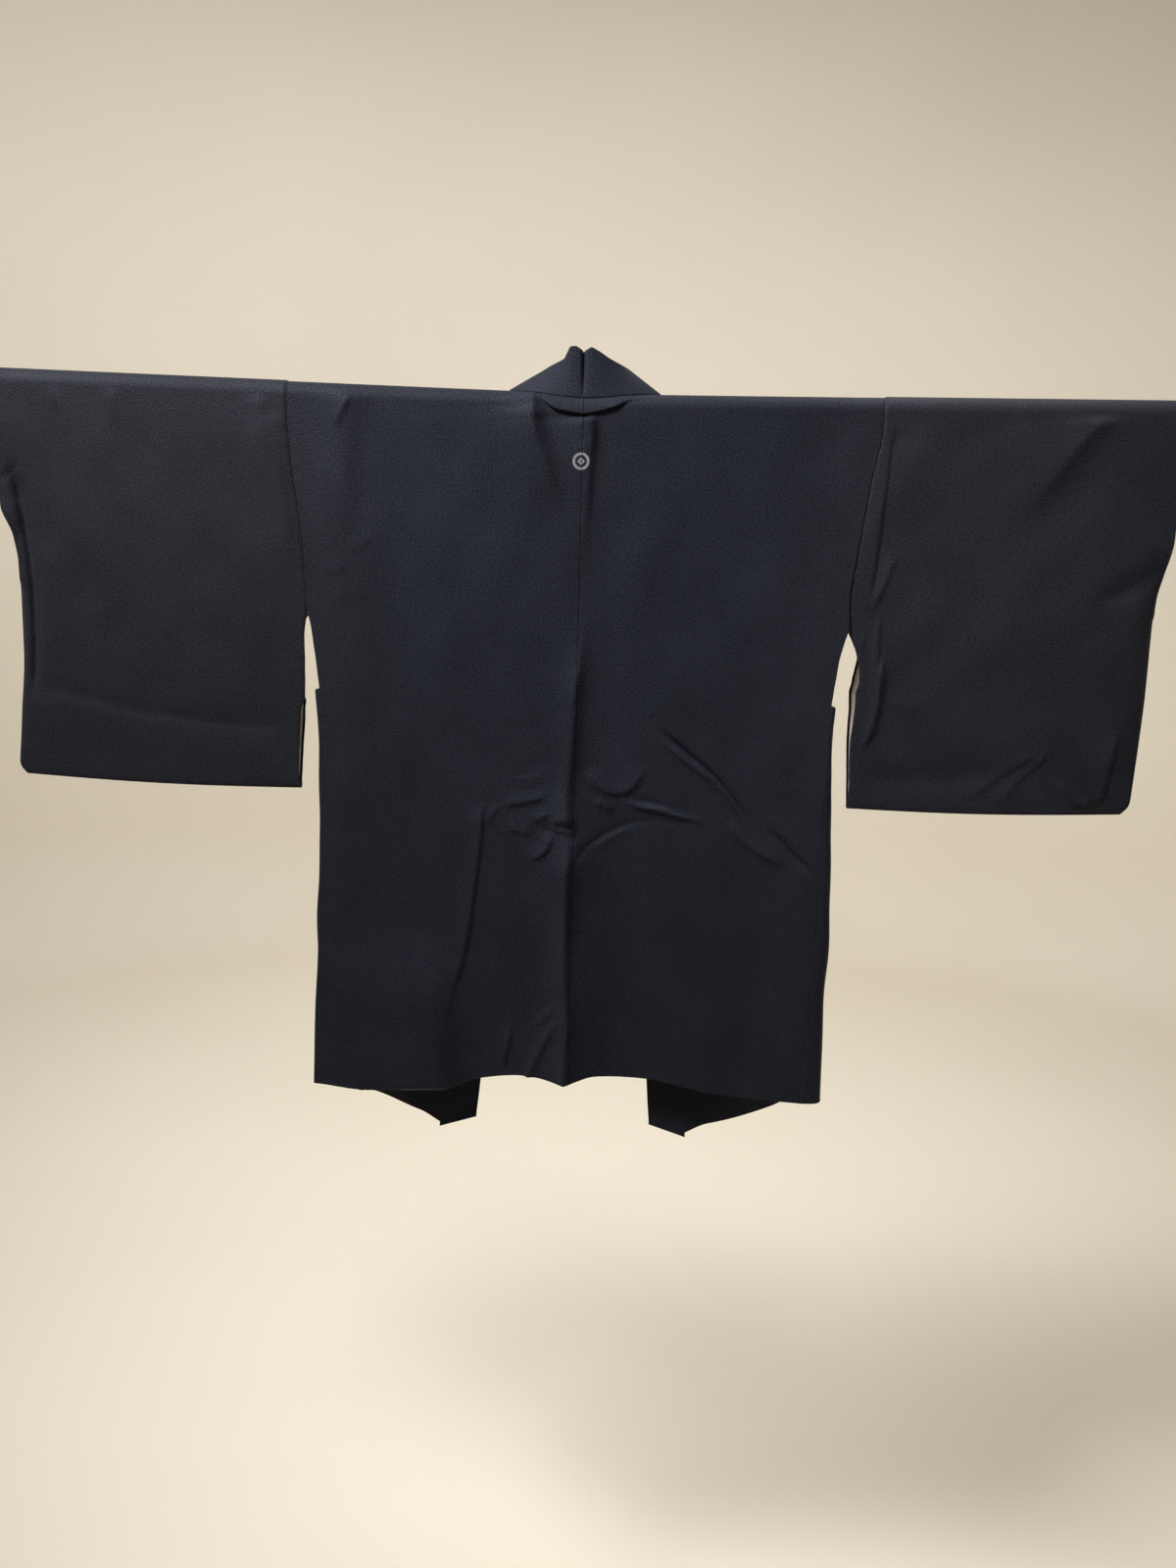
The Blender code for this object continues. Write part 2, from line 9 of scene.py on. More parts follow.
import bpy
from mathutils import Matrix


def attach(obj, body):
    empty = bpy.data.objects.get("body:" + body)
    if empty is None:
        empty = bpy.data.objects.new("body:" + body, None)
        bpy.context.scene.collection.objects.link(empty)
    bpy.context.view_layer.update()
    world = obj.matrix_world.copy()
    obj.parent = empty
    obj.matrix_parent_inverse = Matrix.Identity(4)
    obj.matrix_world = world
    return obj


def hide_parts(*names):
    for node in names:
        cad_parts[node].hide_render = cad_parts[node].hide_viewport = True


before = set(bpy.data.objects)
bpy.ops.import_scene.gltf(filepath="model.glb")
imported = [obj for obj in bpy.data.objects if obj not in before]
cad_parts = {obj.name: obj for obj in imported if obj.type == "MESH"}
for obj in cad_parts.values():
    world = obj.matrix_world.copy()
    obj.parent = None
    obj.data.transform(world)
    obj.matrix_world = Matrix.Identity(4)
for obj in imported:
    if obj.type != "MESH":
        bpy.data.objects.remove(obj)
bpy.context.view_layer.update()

import logging
import math
from collections.abc import Mapping, Sequence
from dataclasses import dataclass, field, replace
from enum import Enum
from typing import Any

import bpy
import numpy as np
from bpy.types import ID, Material, Mesh, Node, NodeSocket, NodeTree, Object
from mathutils import Matrix, Vector
from mathutils.kdtree import KDTree

Array = np.ndarray
Place = tuple[float, float, float]

LOG = logging.getLogger("haori")
BODY = "root"

# The rod, and how the jacket lies over it.
ROD_RADIUS = 0.014
ROD_LENGTH = 1.46
SAG_SLOPE = 0.0155
SAG_EASE = 0.060
TILT_SLOPE = 0.0075
BODY_RADIUS = 0.01560
SLEEVE_RADIUS = 0.01703
COLLAR_RADIUS = 0.01590
NECK_HALF = 0.084
NECK_DIP = math.radians(54)
NECK_ROUNDNESS = 1.4

# Heights that pieces share.
ARMPIT_Z = -0.235
GUSSET_TOP_Z = -0.327
SLEEVE_DROP = 0.4445
CUFF_END_Z = -0.214

# Distances from an edge of the cloth at which it is sampled more closely.
EDGE_OFFSETS = np.array((0.0, 0.0004, 0.0012, 0.0025))
SETBACK_COLUMNS = 3  # a lining stops at the last of those

MM = 0.001


class Side(Enum):
    """A side of the wearer, with its sign of X."""

    LEFT = -1
    RIGHT = 1

    @property
    def label(self) -> str:
        """The side's name in piece names."""
        return self.name.lower()


class Form(Enum):
    """The shape of a crease across its line."""

    ROUND = 2.0
    SHARP = 1.25


# ---------------------------------------------------------------- curves and tables


def smooth(share: Array | float) -> Array:
    """An S-curve from 0 to 1, level outside that range."""
    share = np.clip(share, 0.0, 1.0)
    return share * share * (3 - 2 * share)


def lerp(start: Any, end: Any, share: Any) -> Any:
    """The value this share of the way from start to end."""
    return start + (end - start) * share


def through(keys: Sequence[float], values: Sequence[float], at: Array | float) -> Array:
    """Reads a smooth curve that runs through table rows and never overshoots them.

    Args:
        keys: Where each row lies.
        values: The value in each row.
        at: Where to read the curve; held at the end rows beyond them.

    Returns:
        The values, in the shape of at.
    """
    order = np.argsort(keys)
    x, y = np.asarray(keys, float)[order], np.asarray(values, float)[order]
    gap = np.diff(x)
    slope = np.diff(y) / gap
    tangent = np.zeros_like(y)
    tangent[0], tangent[-1] = slope[0], slope[-1]
    low, high = slope[:-1], slope[1:]
    steady = low * high > 0
    weight_low, weight_high = 2 * gap[1:] + gap[:-1], gap[1:] + 2 * gap[:-1]
    shared = weight_low / np.where(steady, low, 1) + weight_high / np.where(steady, high, 1)
    mean = (weight_low + weight_high) / shared
    tangent[1:-1] = np.where(steady, mean, 0)
    at = np.clip(at, x[0], x[-1])
    row = np.clip(np.searchsorted(x, at, side="right") - 1, 0, len(gap) - 1)
    span = gap[row]
    t = (at - x[row]) / span
    rest = 1 - t
    return (
        y[row] * rest * rest * (1 + 2 * t)
        + y[row + 1] * t * t * (1 + 2 * rest)
        + span * t * rest * (tangent[row] * rest - tangent[row + 1] * t)
    )


@dataclass(frozen=True)
class SideTable:
    """A size that changes down the jacket: rows of height, value on the left, value on the right."""

    rows: tuple[tuple[float, float, float], ...]

    def at(self, side: Side, z: Array | float) -> Array:
        """The size on one side at height z."""
        column = 1 if side is Side.LEFT else 2
        return through([row[0] for row in self.rows], [row[column] for row in self.rows], z)


# The back's side edge: the armhole seam, the slit below it, and the gusset seam from there to the hem.
BACK_SIDE = SideTable((
    (0.0, 0.3304, 0.3292), (-0.016, 0.3304, 0.3292), (-0.074, 0.326, 0.32), (-0.157, 0.315, 0.309),
    (-0.205, 0.3124, 0.3036), (-0.235, 0.311, 0.305), (-0.252, 0.3072, 0.301), (-0.272, 0.3044, 0.2963),
    (-0.291, 0.3018, 0.294), (-0.313, 0.2993, 0.2914), (-0.3255, 0.2981, 0.2902),
    (-0.3275, 0.3012, 0.2932), (-0.334, 0.301, 0.2928), (-0.347, 0.3, 0.2914), (-0.364, 0.2989, 0.2904),
    (-0.386, 0.2975, 0.2899), (-0.4, 0.297, 0.2897), (-0.43, 0.2965, 0.2882), (-0.467, 0.2967, 0.2887),
    (-0.5, 0.297, 0.29), (-0.62, 0.301, 0.287), (-0.75, 0.306, 0.28), (-0.81, 0.308, 0.279),
))
# Where a front ends at its gusset, how deep it hangs there, and its seam with the collar.
FRONT_SIDE = SideTable(((-0.327, 0.2965, 0.2885), (-0.810, 0.3000, 0.2970)))
FRONT_DEPTH = SideTable(((-0.327, 0.0153, 0.0153), (-0.810, 0.0400, 0.0320)))
COLLAR_SEAM = SideTable(((0.000, 0.0880, 0.0880), (-0.100, 0.0940, 0.0930), (-0.865, 0.1600, 0.1445)))
# The furi: a sleeve's open inner edge, below the armhole.
FURI = SideTable((
    (-0.235, 0.3113, 0.3053), (-0.251, 0.314, 0.3105), (-0.267, 0.3157, 0.316), (-0.29, 0.3155, 0.3205),
    (-0.298, 0.3156, 0.3205), (-0.31, 0.3158, 0.3176), (-0.327, 0.3161, 0.3177),
    (-0.338, 0.3168, 0.3171), (-0.35, 0.3215, 0.3164), (-0.368, 0.323, 0.3152), (-0.39, 0.3243, 0.3156),
    (-0.405, 0.3254, 0.3166), (-0.421, 0.3264, 0.3174), (-0.439, 0.3246, 0.3171),
    (-0.445, 0.3242, 0.3168),
))
# How far the front layer's edge lies behind the back one's there.
FURI_BEHIND = SideTable((
    (-0.235, 0.0, 0.0), (-0.25, 0.0068, 0.003), (-0.268, 0.0072, 0.0042), (-0.275, 0.0072, 0.002),
    (-0.285, 0.0072, -0.0021), (-0.298, 0.007, -0.0045), (-0.323, 0.0069, -0.0036),
    (-0.332, 0.0066, -0.0032), (-0.346, 0.0, -0.0028), (-0.367, -0.002, -0.0015),
    (-0.391, -0.0018, -0.001), (-0.421, -0.0024, -0.0014), (-0.438, 0.0, -0.0004), (-0.445, 0.0, 0.0),
))
# The sleeve's outer edge.
CUFF = SideTable((
    (0.0, 0.665, 0.657), (-0.134, 0.662, 0.6555), (-0.168, 0.651, 0.651), (-0.212, 0.6485, 0.6465),
    (-0.3, 0.649, 0.6465), (-0.37, 0.655, 0.6445), (-0.445, 0.662, 0.641),
))
# The hems: x and height at the back, share of the way to the side and height at the front.
BACK_HEM = (
    (-0.308, -0.807), (-0.246, -0.81), (-0.16, -0.804), (-0.105, -0.787), (-0.048, -0.779),
    (-0.003, -0.7835), (0.031, -0.777), (0.095, -0.78), (0.19, -0.798), (0.279, -0.805),
)
FRONT_HEM = ((0.00, -0.862), (0.10, -0.851), (0.50, -0.841), (0.80, -0.827), (1.00, -0.811))
# How a front falls in plan: the height where its slack starts, over what drop it grows and to what share;
# how far that carries the curve's second handle, and where it puts the third.
FALL_TOP = -0.040
FALL_DROP = 1.1
FALL_MOST = 1.06
FALL_SPREAD = 2.1
FALL_DEPTH = 0.015
FALL_TURN = (0.025, 0.085)
# How much less deep than the table the front's side edge lies, to meet the gusset.
SIDE_TUCK = 0.002
# The back collar from left to right: start on the neck seam, and where the line meets the fold.
NECK_LINES = (
    (-0.084, -0.047, 0.011, 0.041), (-0.055, -0.036, 0.002, 0.0465), (-0.029, -0.0225, -0.003, 0.0535),
    (-0.02, -0.0195, -0.005, 0.0595), (-0.014, -0.0165, -0.006, 0.0655),
    (-0.009, -0.0105, -0.006, 0.066), (-0.005, -0.0058, -0.006, 0.063), (-0.001, -0.0022, 0.002, 0.06),
    (0.003, 0.0014, -0.006, 0.0622), (0.009, 0.0065, -0.006, 0.065), (0.019, 0.0155, -0.005, 0.0608),
    (0.032, 0.026, -0.003, 0.0542), (0.055, 0.038, 0.002, 0.0485), (0.084, 0.047, 0.011, 0.0445),
)
# The collar's fold down a front: height, distance from the collar seam, depth, rise above the seam.
FOLD_RUN = (
    (0.016, 0.036, 0.026, 0.022), (0.0, 0.039, 0.029, 0.012), (-0.04, 0.043, 0.028, 0.002),
    (-0.1, 0.046, 0.024, 0.0), (-0.865, 0.0455, 0.019, 0.0),
)
# Lower edge of the roll of cloth under the back neck seam.
LIP_EDGE = ((-0.054, 0.0092), (-0.030, -0.0040), (-0.001, -0.0080), (0.031, -0.0010), (0.058, 0.0092))


def rise(x: Array | float) -> Array:
    """How much higher the rod's axis lies at x than in the middle."""
    return SAG_SLOPE * (np.hypot(x, SAG_EASE) - SAG_EASE) - TILT_SLOPE * x


def side_hem(side: Side) -> float:
    """Height of the back hem at the side seam."""
    return BACK_HEM[0 if side is Side.LEFT else -1][1]


def neck_angle(x: Array) -> Array:
    """Angle from the top of the rod, towards the back, at which the neck seam lies."""
    across = np.minimum(np.abs(x) / NECK_HALF, 1.0)
    return NECK_DIP * (1 - across**2) ** NECK_ROUNDNESS


def graded(length: float, step: float, start: bool = True, end: bool = True) -> Array:
    """Shares of a length at which cloth is sampled, closer together near its edges.

    Args:
        length: The strip's length.
        step: The spacing away from the edges.
        start: Whether the strip starts at an edge of the cloth.
        end: Whether it ends at one.

    Returns:
        Rising shares from 0 to 1.
    """
    head = EDGE_OFFSETS if start else np.zeros(1)
    tail = length - (EDGE_OFFSETS[::-1] if end else np.zeros(1))
    count = max(math.ceil((tail[0] - head[-1]) / step), 1)
    middle = np.linspace(head[-1], tail[0], count + 1)[1:-1]
    return np.concatenate((head, middle, tail)) / length


def paced(marks: Sequence[tuple[float, float]]) -> Array:
    """Positions along a strip whose spacing changes on the way.

    Args:
        marks: Rising positions, each with the spacing wanted there.

    Returns:
        Positions from the first mark to the last.
    """
    spots = np.linspace(marks[0][0], marks[-1][0], 2000)
    pace = 1 / np.interp(spots, *zip(*marks))
    count = np.concatenate(([0], np.cumsum((pace[1:] + pace[:-1]) / 2 * np.diff(spots))))
    return np.interp(np.linspace(0, count[-1], math.ceil(count[-1]) + 1), count, spots)


def bezier(points: Sequence[Array], share: Array) -> Array:
    """Points of a cubic curve.

    Args:
        points: The four control points, each an array whose last axis is the coordinate.
        share: Where to read, broadcast against them.

    Returns:
        The points.
    """
    share = share[..., None]
    rest = 1 - share
    a, b, c, d = points
    return rest**3 * a + 3 * rest**2 * share * b + 3 * rest * share**2 * c + share**3 * d


def hung(x: Array, y: Array, z: Array) -> Array:
    """Points of the jacket, moved up or down with the rod under them."""
    x, y, z = np.broadcast_arrays(x, y, z)
    return np.stack((x, y, z + rise(x)), axis=-1)


# ---------------------------------------------------------------- folds


@dataclass(frozen=True)
class Crease:
    """One fold that stands out from the cloth, or sinks into it, along a line.

    Attributes:
        height: How far it stands out in millimetres, less than 0 for a furrow.
        reach: Its width in millimetres on each side of its line: left of its run, then right of it.
        line: Points x, z in millimetres.
        fade: Share of its length over which it grows at its start, and then at its end.
        form: Its shape across the line.
        steepness: How fast it dies out across the line.
        last_reach: How many of its widths away it ends.
        point_gap: About how far apart the points of its line are.
        batch: How many points of the cloth are compared with the line at once.
    """

    height: float
    reach: tuple[float, float]
    line: tuple[tuple[float, float], ...]
    fade: tuple[float, float] = (0.3, 0.3)
    form: Form = Form.SHARP
    steepness: float = 1.9
    last_reach: float = 2.2
    point_gap: float = 2 * MM
    batch: int = 4000

    def run(self) -> Array:
        """The line as evenly spaced points on a smooth curve, in metres."""
        points = np.array(self.line) * MM
        if len(points) == 2:
            points = np.array([points[0], points.mean(0), points[1]])
        way = np.concatenate(([0], np.cumsum(np.hypot(*np.diff(points, axis=0).T))))
        at = np.linspace(0, way[-1], max(int(way[-1] / self.point_gap), 6))
        return np.stack([through(way, points[:, axis], at) for axis in (0, 1)], axis=1)

    def lift(self, x: Array, z: Array) -> Array:
        """How far the crease lifts the cloth at each x, z."""
        run = self.run()
        most = self.last_reach * max(self.reach) * MM
        low, high = run.min(0) - most, run.max(0) + most
        near = (x > low[0]) & (x < high[0]) & (z > low[1]) & (z < high[1])
        out = np.zeros_like(x)
        if not near.any():
            return out
        places = np.stack((x[near], z[near]), axis=1)
        found = np.empty(len(places), int)
        for start in range(0, len(places), self.batch):
            part = slice(start, start + self.batch)
            gap = places[part, None] - run[None]
            found[part] = (gap * gap).sum(2).argmin(1)
        ahead = np.gradient(run, axis=0)
        ahead /= np.hypot(*ahead.T)[:, None]
        off = places - run[found]
        heading = ahead[found]
        across = heading[:, 0] * off[:, 1] - heading[:, 1] * off[:, 0]
        away = np.hypot(*off.T)
        share = found / (len(run) - 1)
        grown = smooth(share / self.fade[0]) * smooth((1 - share) / self.fade[1])
        reach = np.where(across > 0, *self.reach) * MM
        profile = np.exp(-self.steepness * (away / reach) ** self.form.value)
        out[near] = self.height * MM * grown * profile
        return out


@dataclass(frozen=True)
class Drape:
    """Slow, shallow waves in hanging cloth: plane waves drawn once from a fixed seed.

    Attributes:
        seed: Seed of the draw.
        height: Typical height of the longest waves.
        shortest: Shortest wave.
        longest: Longest wave.
        lean: How far, in radians, the folds stray from upright.
    """

    seed: int
    height: float
    shortest: float
    longest: float
    lean: float
    count: int = 18

    def lift(self, x: Array, z: Array) -> Array:
        """How far the waves lift the cloth at each x, z."""
        draw = np.random.default_rng(self.seed)
        total = np.zeros_like(x)
        for _ in range(self.count):
            length = math.exp(draw.uniform(math.log(self.shortest), math.log(self.longest)))
            lean = draw.normal(0, self.lean)
            phase = draw.uniform(0, 2 * math.pi)
            along = (x * math.cos(lean) + z * math.sin(lean)) / length
            total += (length / self.longest) * np.sin(2 * math.pi * along + phase)
        return total * self.height * math.sqrt(2 / self.count)


@dataclass(frozen=True)
class Pucker:
    """The slight gathers that a hand-sewn seam draws into the cloth beside it."""

    seed: int
    height: float = 0.00022
    reach: float = 0.007
    shortest: float = 0.008
    longest: float = 0.026

    def lift(self, along: Array, away: Array) -> Array:
        """How far the cloth lifts, by distance along the seam and distance from it."""
        waves = Drape(self.seed, self.height, self.shortest, self.longest, 0.0, 9)
        return waves.lift(along, np.zeros_like(along)) * np.exp(-((away / self.reach) ** 2))


def relief(creases: Sequence[Crease], x: Array, z: Array) -> Array:
    """How far all of these creases together lift the cloth at each x, z."""
    total = np.zeros_like(x)
    for crease in creases:
        total += crease.lift(x, z)
    return total


BACK_CREASES = (
    # Below the neck: a strip beside the centre seam that ends in a step, and the hollow left of it.
    Crease(5.0, (7, 60), ((9, -7), (10, -18), (10, -34), (9, -48), (7, -98), (2, -189)), (0.05, 0.85)),
    Crease(8.6, (12, 38), (
        (-56, 14), (-55, 2), (-55, -12), (-52, -28), (-46, -45), (-40, -60), (-22, -123)
    ), (0.02, 0.9)),
    Crease(4.0, (44, 60), (
        (-56, 4), (-55, -12), (-52, -28), (-46, -45), (-40, -60), (-22, -123)
    ), (0.1, 0.6)),
    # Beside the left arm.
    Crease(3.4, (26, 30), ((-267, 20), (-267, -40), (-268, -100), (-268, -180)), (0.1, 0.5), Form.ROUND),
    Crease(2.2, (4, 10), ((-258, 10), (-266, -6), (-276, -28))),
    Crease(0.9, (14, 4), ((-294, -185), (-278, -184), (-258, -175))),
    Crease(1.0, (14, 4), ((-264, -159), (-248, -155), (-232, -144))),
    Crease(0.5, (12, 4), ((-282, -211), (-235, -209))),
    Crease(0.5, (16, 7), ((38, -64), (67, -49))),
    # The strip down the middle of the back, above the wrinkled waist.
    Crease(8.5, (13, 32), (
        (7, -225), (2, -282), (-3, -324), (-4, -353), (-6, -393), (-8, -416), (-9, -444), (-7, -474)
    ), (0.4, 0.05)),
    # The one deep fold from the waist to the hem: bright on its left, a dark step on its right.
    Crease(7.0, (10, 16), (
        (-4, -482), (-5, -503), (-8, -523), (-8, -610), (-7, -657), (-3, -701), (-4, -760), (-6, -810)
    ), (0.16, 0.04)),
    Crease(12.0, (46, 80), (
        (-8, -400), (-8, -470), (-7, -523), (-8, -610), (-7, -657), (-3, -701), (-4, -760), (-6, -810)
    ), (0.3, 0.04)),
    Crease(5.0, (62, 80), ((-8, -600), (-3, -701), (-4, -760), (-6, -810)), (0.6, 0.04)),
    # Wrinkles left of the middle.
    Crease(0.9, (12, 6), ((-27, -392), (-48, -416), (-83, -420))),
    Crease(2.6, (18, 4.5), ((-90, -452), (-71, -447), (-52, -443), (-38, -438), (-30, -431))),
    Crease(1.6, (5, 6), ((-88, -447), (-95, -458), (-105, -474))),
    Crease(2.6, (14, 4.5), ((-49, -467), (-39, -462), (-27, -457))),
    Crease(2.0, (14, 4.5), ((-82, -475), (-67, -478), (-46, -484))),
    Crease(3.6, (15, 4.5), ((-56, -514), (-41, -508), (-31, -498), (-27, -487), (-26, -475)), (0.35, 0.3)),
    Crease(2.0, (18, 4), ((-27, -475), (-11, -477), (2, -480)), (0.1, 0.1)),
    # Wrinkles right of the middle.
    Crease(3.0, (22, 4.5), (
        (12, -400), (15, -410), (22, -421), (31, -427), (43, -431), (56, -430), (66, -424), (73, -414),
        (84, -396)
    ), (0.2, 0.25)),
    Crease(0.6, (9, 9), ((74, -346), (86, -333), (98, -315)), form=Form.ROUND),
    Crease(2.6, (12, 4.5), ((20, -440), (35, -447), (48, -453))),
    Crease(4.4, (5, 4), (
        (48, -439), (59, -442), (76, -446), (100, -450), (117, -455), (133, -458), (168, -467)
    ), (0.3, 0.5)),
    Crease(-1.6, (6, 4), ((68, -437), (89, -441), (116, -447))),
    Crease(-1.8, (7, 7), (
        (-2, -524), (4, -511), (18, -493), (32, -482), (46, -474), (62, -467), (80, -463), (102, -462),
        (130, -464)
    ), (0.15, 0.5)),
    Crease(1.3, (5, 6), ((21, -500), (38, -487), (52, -478), (72, -471))),
    # The long slanting fold on the right, and the two below it.
    Crease(-5.6, (3.4, 9), (
        (93, -352), (107, -363), (130, -382), (163, -409), (184, -433), (199, -454), (214, -472)
    ), (0.2, 0.25)),
    Crease(4.4, (9, 3), (
        (92, -363), (106, -375), (127, -392), (160, -417), (181, -440), (195, -460), (207, -474)
    ), (0.25, 0.25)),
    Crease(3.6, (16, 4.5), (
        (174, -456), (183, -470), (193, -481), (210, -494), (230, -505), (252, -514)
    ), (0.25, 0.3)),
    Crease(-5.0, (4, 7), ((222, -463), (241, -481), (255, -496), (270, -510), (290, -529))),
    # The thin fold down the left half, dying out towards the hem.
    Crease(3.9, (3.2, 20), (
        (-108, -444), (-109, -483), (-113, -523), (-117, -557), (-123, -602), (-132, -647), (-140, -672),
        (-153, -745)
    ), (0.08, 0.5)),
    Crease(13.0, (38, 150), (
        (-153, -596), (-160, -640), (-166, -685), (-164, -735), (-159, -805)
    ), (0.5, 0.05), Form.ROUND),
    # Near the hem.
    Crease(5.4, (9, 6), ((-14, -700), (-29, -730), (-42, -759), (-52, -790)), (0.25, 0.05)),
    Crease(3.6, (4, 10), ((-66, -708), (-73, -735), (-80, -775)), (0.4, 0.3)),
    Crease(3.0, (4, 8), ((-17, -687), (-28, -703), (-42, -720))),
)
SLEEVE_CREASES = {
    Side.LEFT: (
        Crease(-1.4, (5, 6), ((-661, -92), (-648, -82), (-633, -70)), (0.1, 0.4)),
        Crease(-9.0, (14, 7), (
            (-648, -72), (-645, -100), (-641, -125), (-638, -152), (-635, -185), (-633.5, -213),
            (-633.5, -257), (-635, -291), (-637, -320), (-639, -350)
        ), (0.15, 0.15)),
        Crease(-2.6, (26, 12), (
            (-640, -325), (-602, -333), (-557, -342), (-511, -353), (-465, -359), (-419, -364),
            (-385, -366), (-328, -368)
        ), (0.1, 0.15)),
        Crease(-2.0, (30, 26), ((-636, -130), (-606, -158), (-566, -210), (-540, -240)), form=Form.ROUND),
        Crease(1.8, (9, 10), ((-529, 12), (-527, -12), (-522, -42)), (0.1, 0.6), Form.ROUND),
        Crease(2.2, (12, 14), ((-364, 14), (-358, -44), (-354, -97)), (0.1, 0.6), Form.ROUND),
        Crease(1.4, (8, 8), ((-592, 12), (-591, -22)), (0.1, 0.6), Form.ROUND),
        Crease(2.0, (10, 26), (
            (-343, -8), (-336, -60), (-332, -120), (-324, -180)
        ), (0.1, 0.5), Form.ROUND),
    ),
    Side.RIGHT: (
        Crease(-2.6, (24, 2.2), (
            (342, -14), (339, -50), (337, -82), (334, -130), (331, -167), (328, -194), (325, -214)
        ), (0.08, 0.2)),
        Crease(2.6, (3, 9), ((353, -145), (347, -167), (340, -189), (332, -208), (329, -219))),
        Crease(2.8, (3, 9), ((339, -215), (338, -243), (339, -265), (335, -287))),
        Crease(2.4, (3, 8), ((324, -233), (321, -260), (319, -288))),
        Crease(6.6, (4, 13), (
            (346, -263), (345, -287), (344, -313), (340, -343), (332, -368), (327, -383)
        ), (0.2, 0.3)),
        Crease(1.4, (16, 7), ((350, -317), (372, -320), (399, -327)), form=Form.ROUND),
        Crease(-4.6, (26, 22), (
            (319, -417), (387, -408), (497, -398), (556, -384)
        ), (0.15, 0.3), Form.ROUND),
        Crease(3.4, (14, 3), ((454, -430), (470, -416), (496, -395), (528, -373)), (0.2, 0.1)),
        Crease(3.8, (14, 3), ((492, -436), (510, -406), (529, -386), (551, -365)), (0.1, 0.3)),
        Crease(6.6, (3, 24), (
            (618, -339), (614, -369), (610, -397), (607, -420), (597, -431)
        ), (0.35, 0.1)),
        Crease(8.0, (4, 12), ((597, -431), (580, -430), (565, -418), (552, -399)), (0.1, 0.3)),
        Crease(4.6, (18, 44), (
            (600, 34), (577, 7), (550, -21), (527, -52), (505, -83), (492, -102), (480, -121)
        ), (0.03, 0.6)),
        Crease(-3.2, (16, 20), ((650, -148), (624, -178), (572, -202)), form=Form.ROUND),
    ),
}
BACK_DRAPE = Drape(7, 0.0013, 0.050, 0.240, 0.45)
SKIRT_DRAPE = Drape(11, 0.0022, 0.080, 0.260, 0.16)
FRONT_DRAPE = Drape(23, 0.0035, 0.070, 0.240, 0.12)
SLEEVE_DRAPES = {
    Side.LEFT: Drape(31, 0.0015, 0.060, 0.260, 0.7),
    Side.RIGHT: Drape(37, 0.0017, 0.060, 0.240, 0.7),
}
SEAM_PUCKER = Pucker(41)


# ---------------------------------------------------------------- cloth


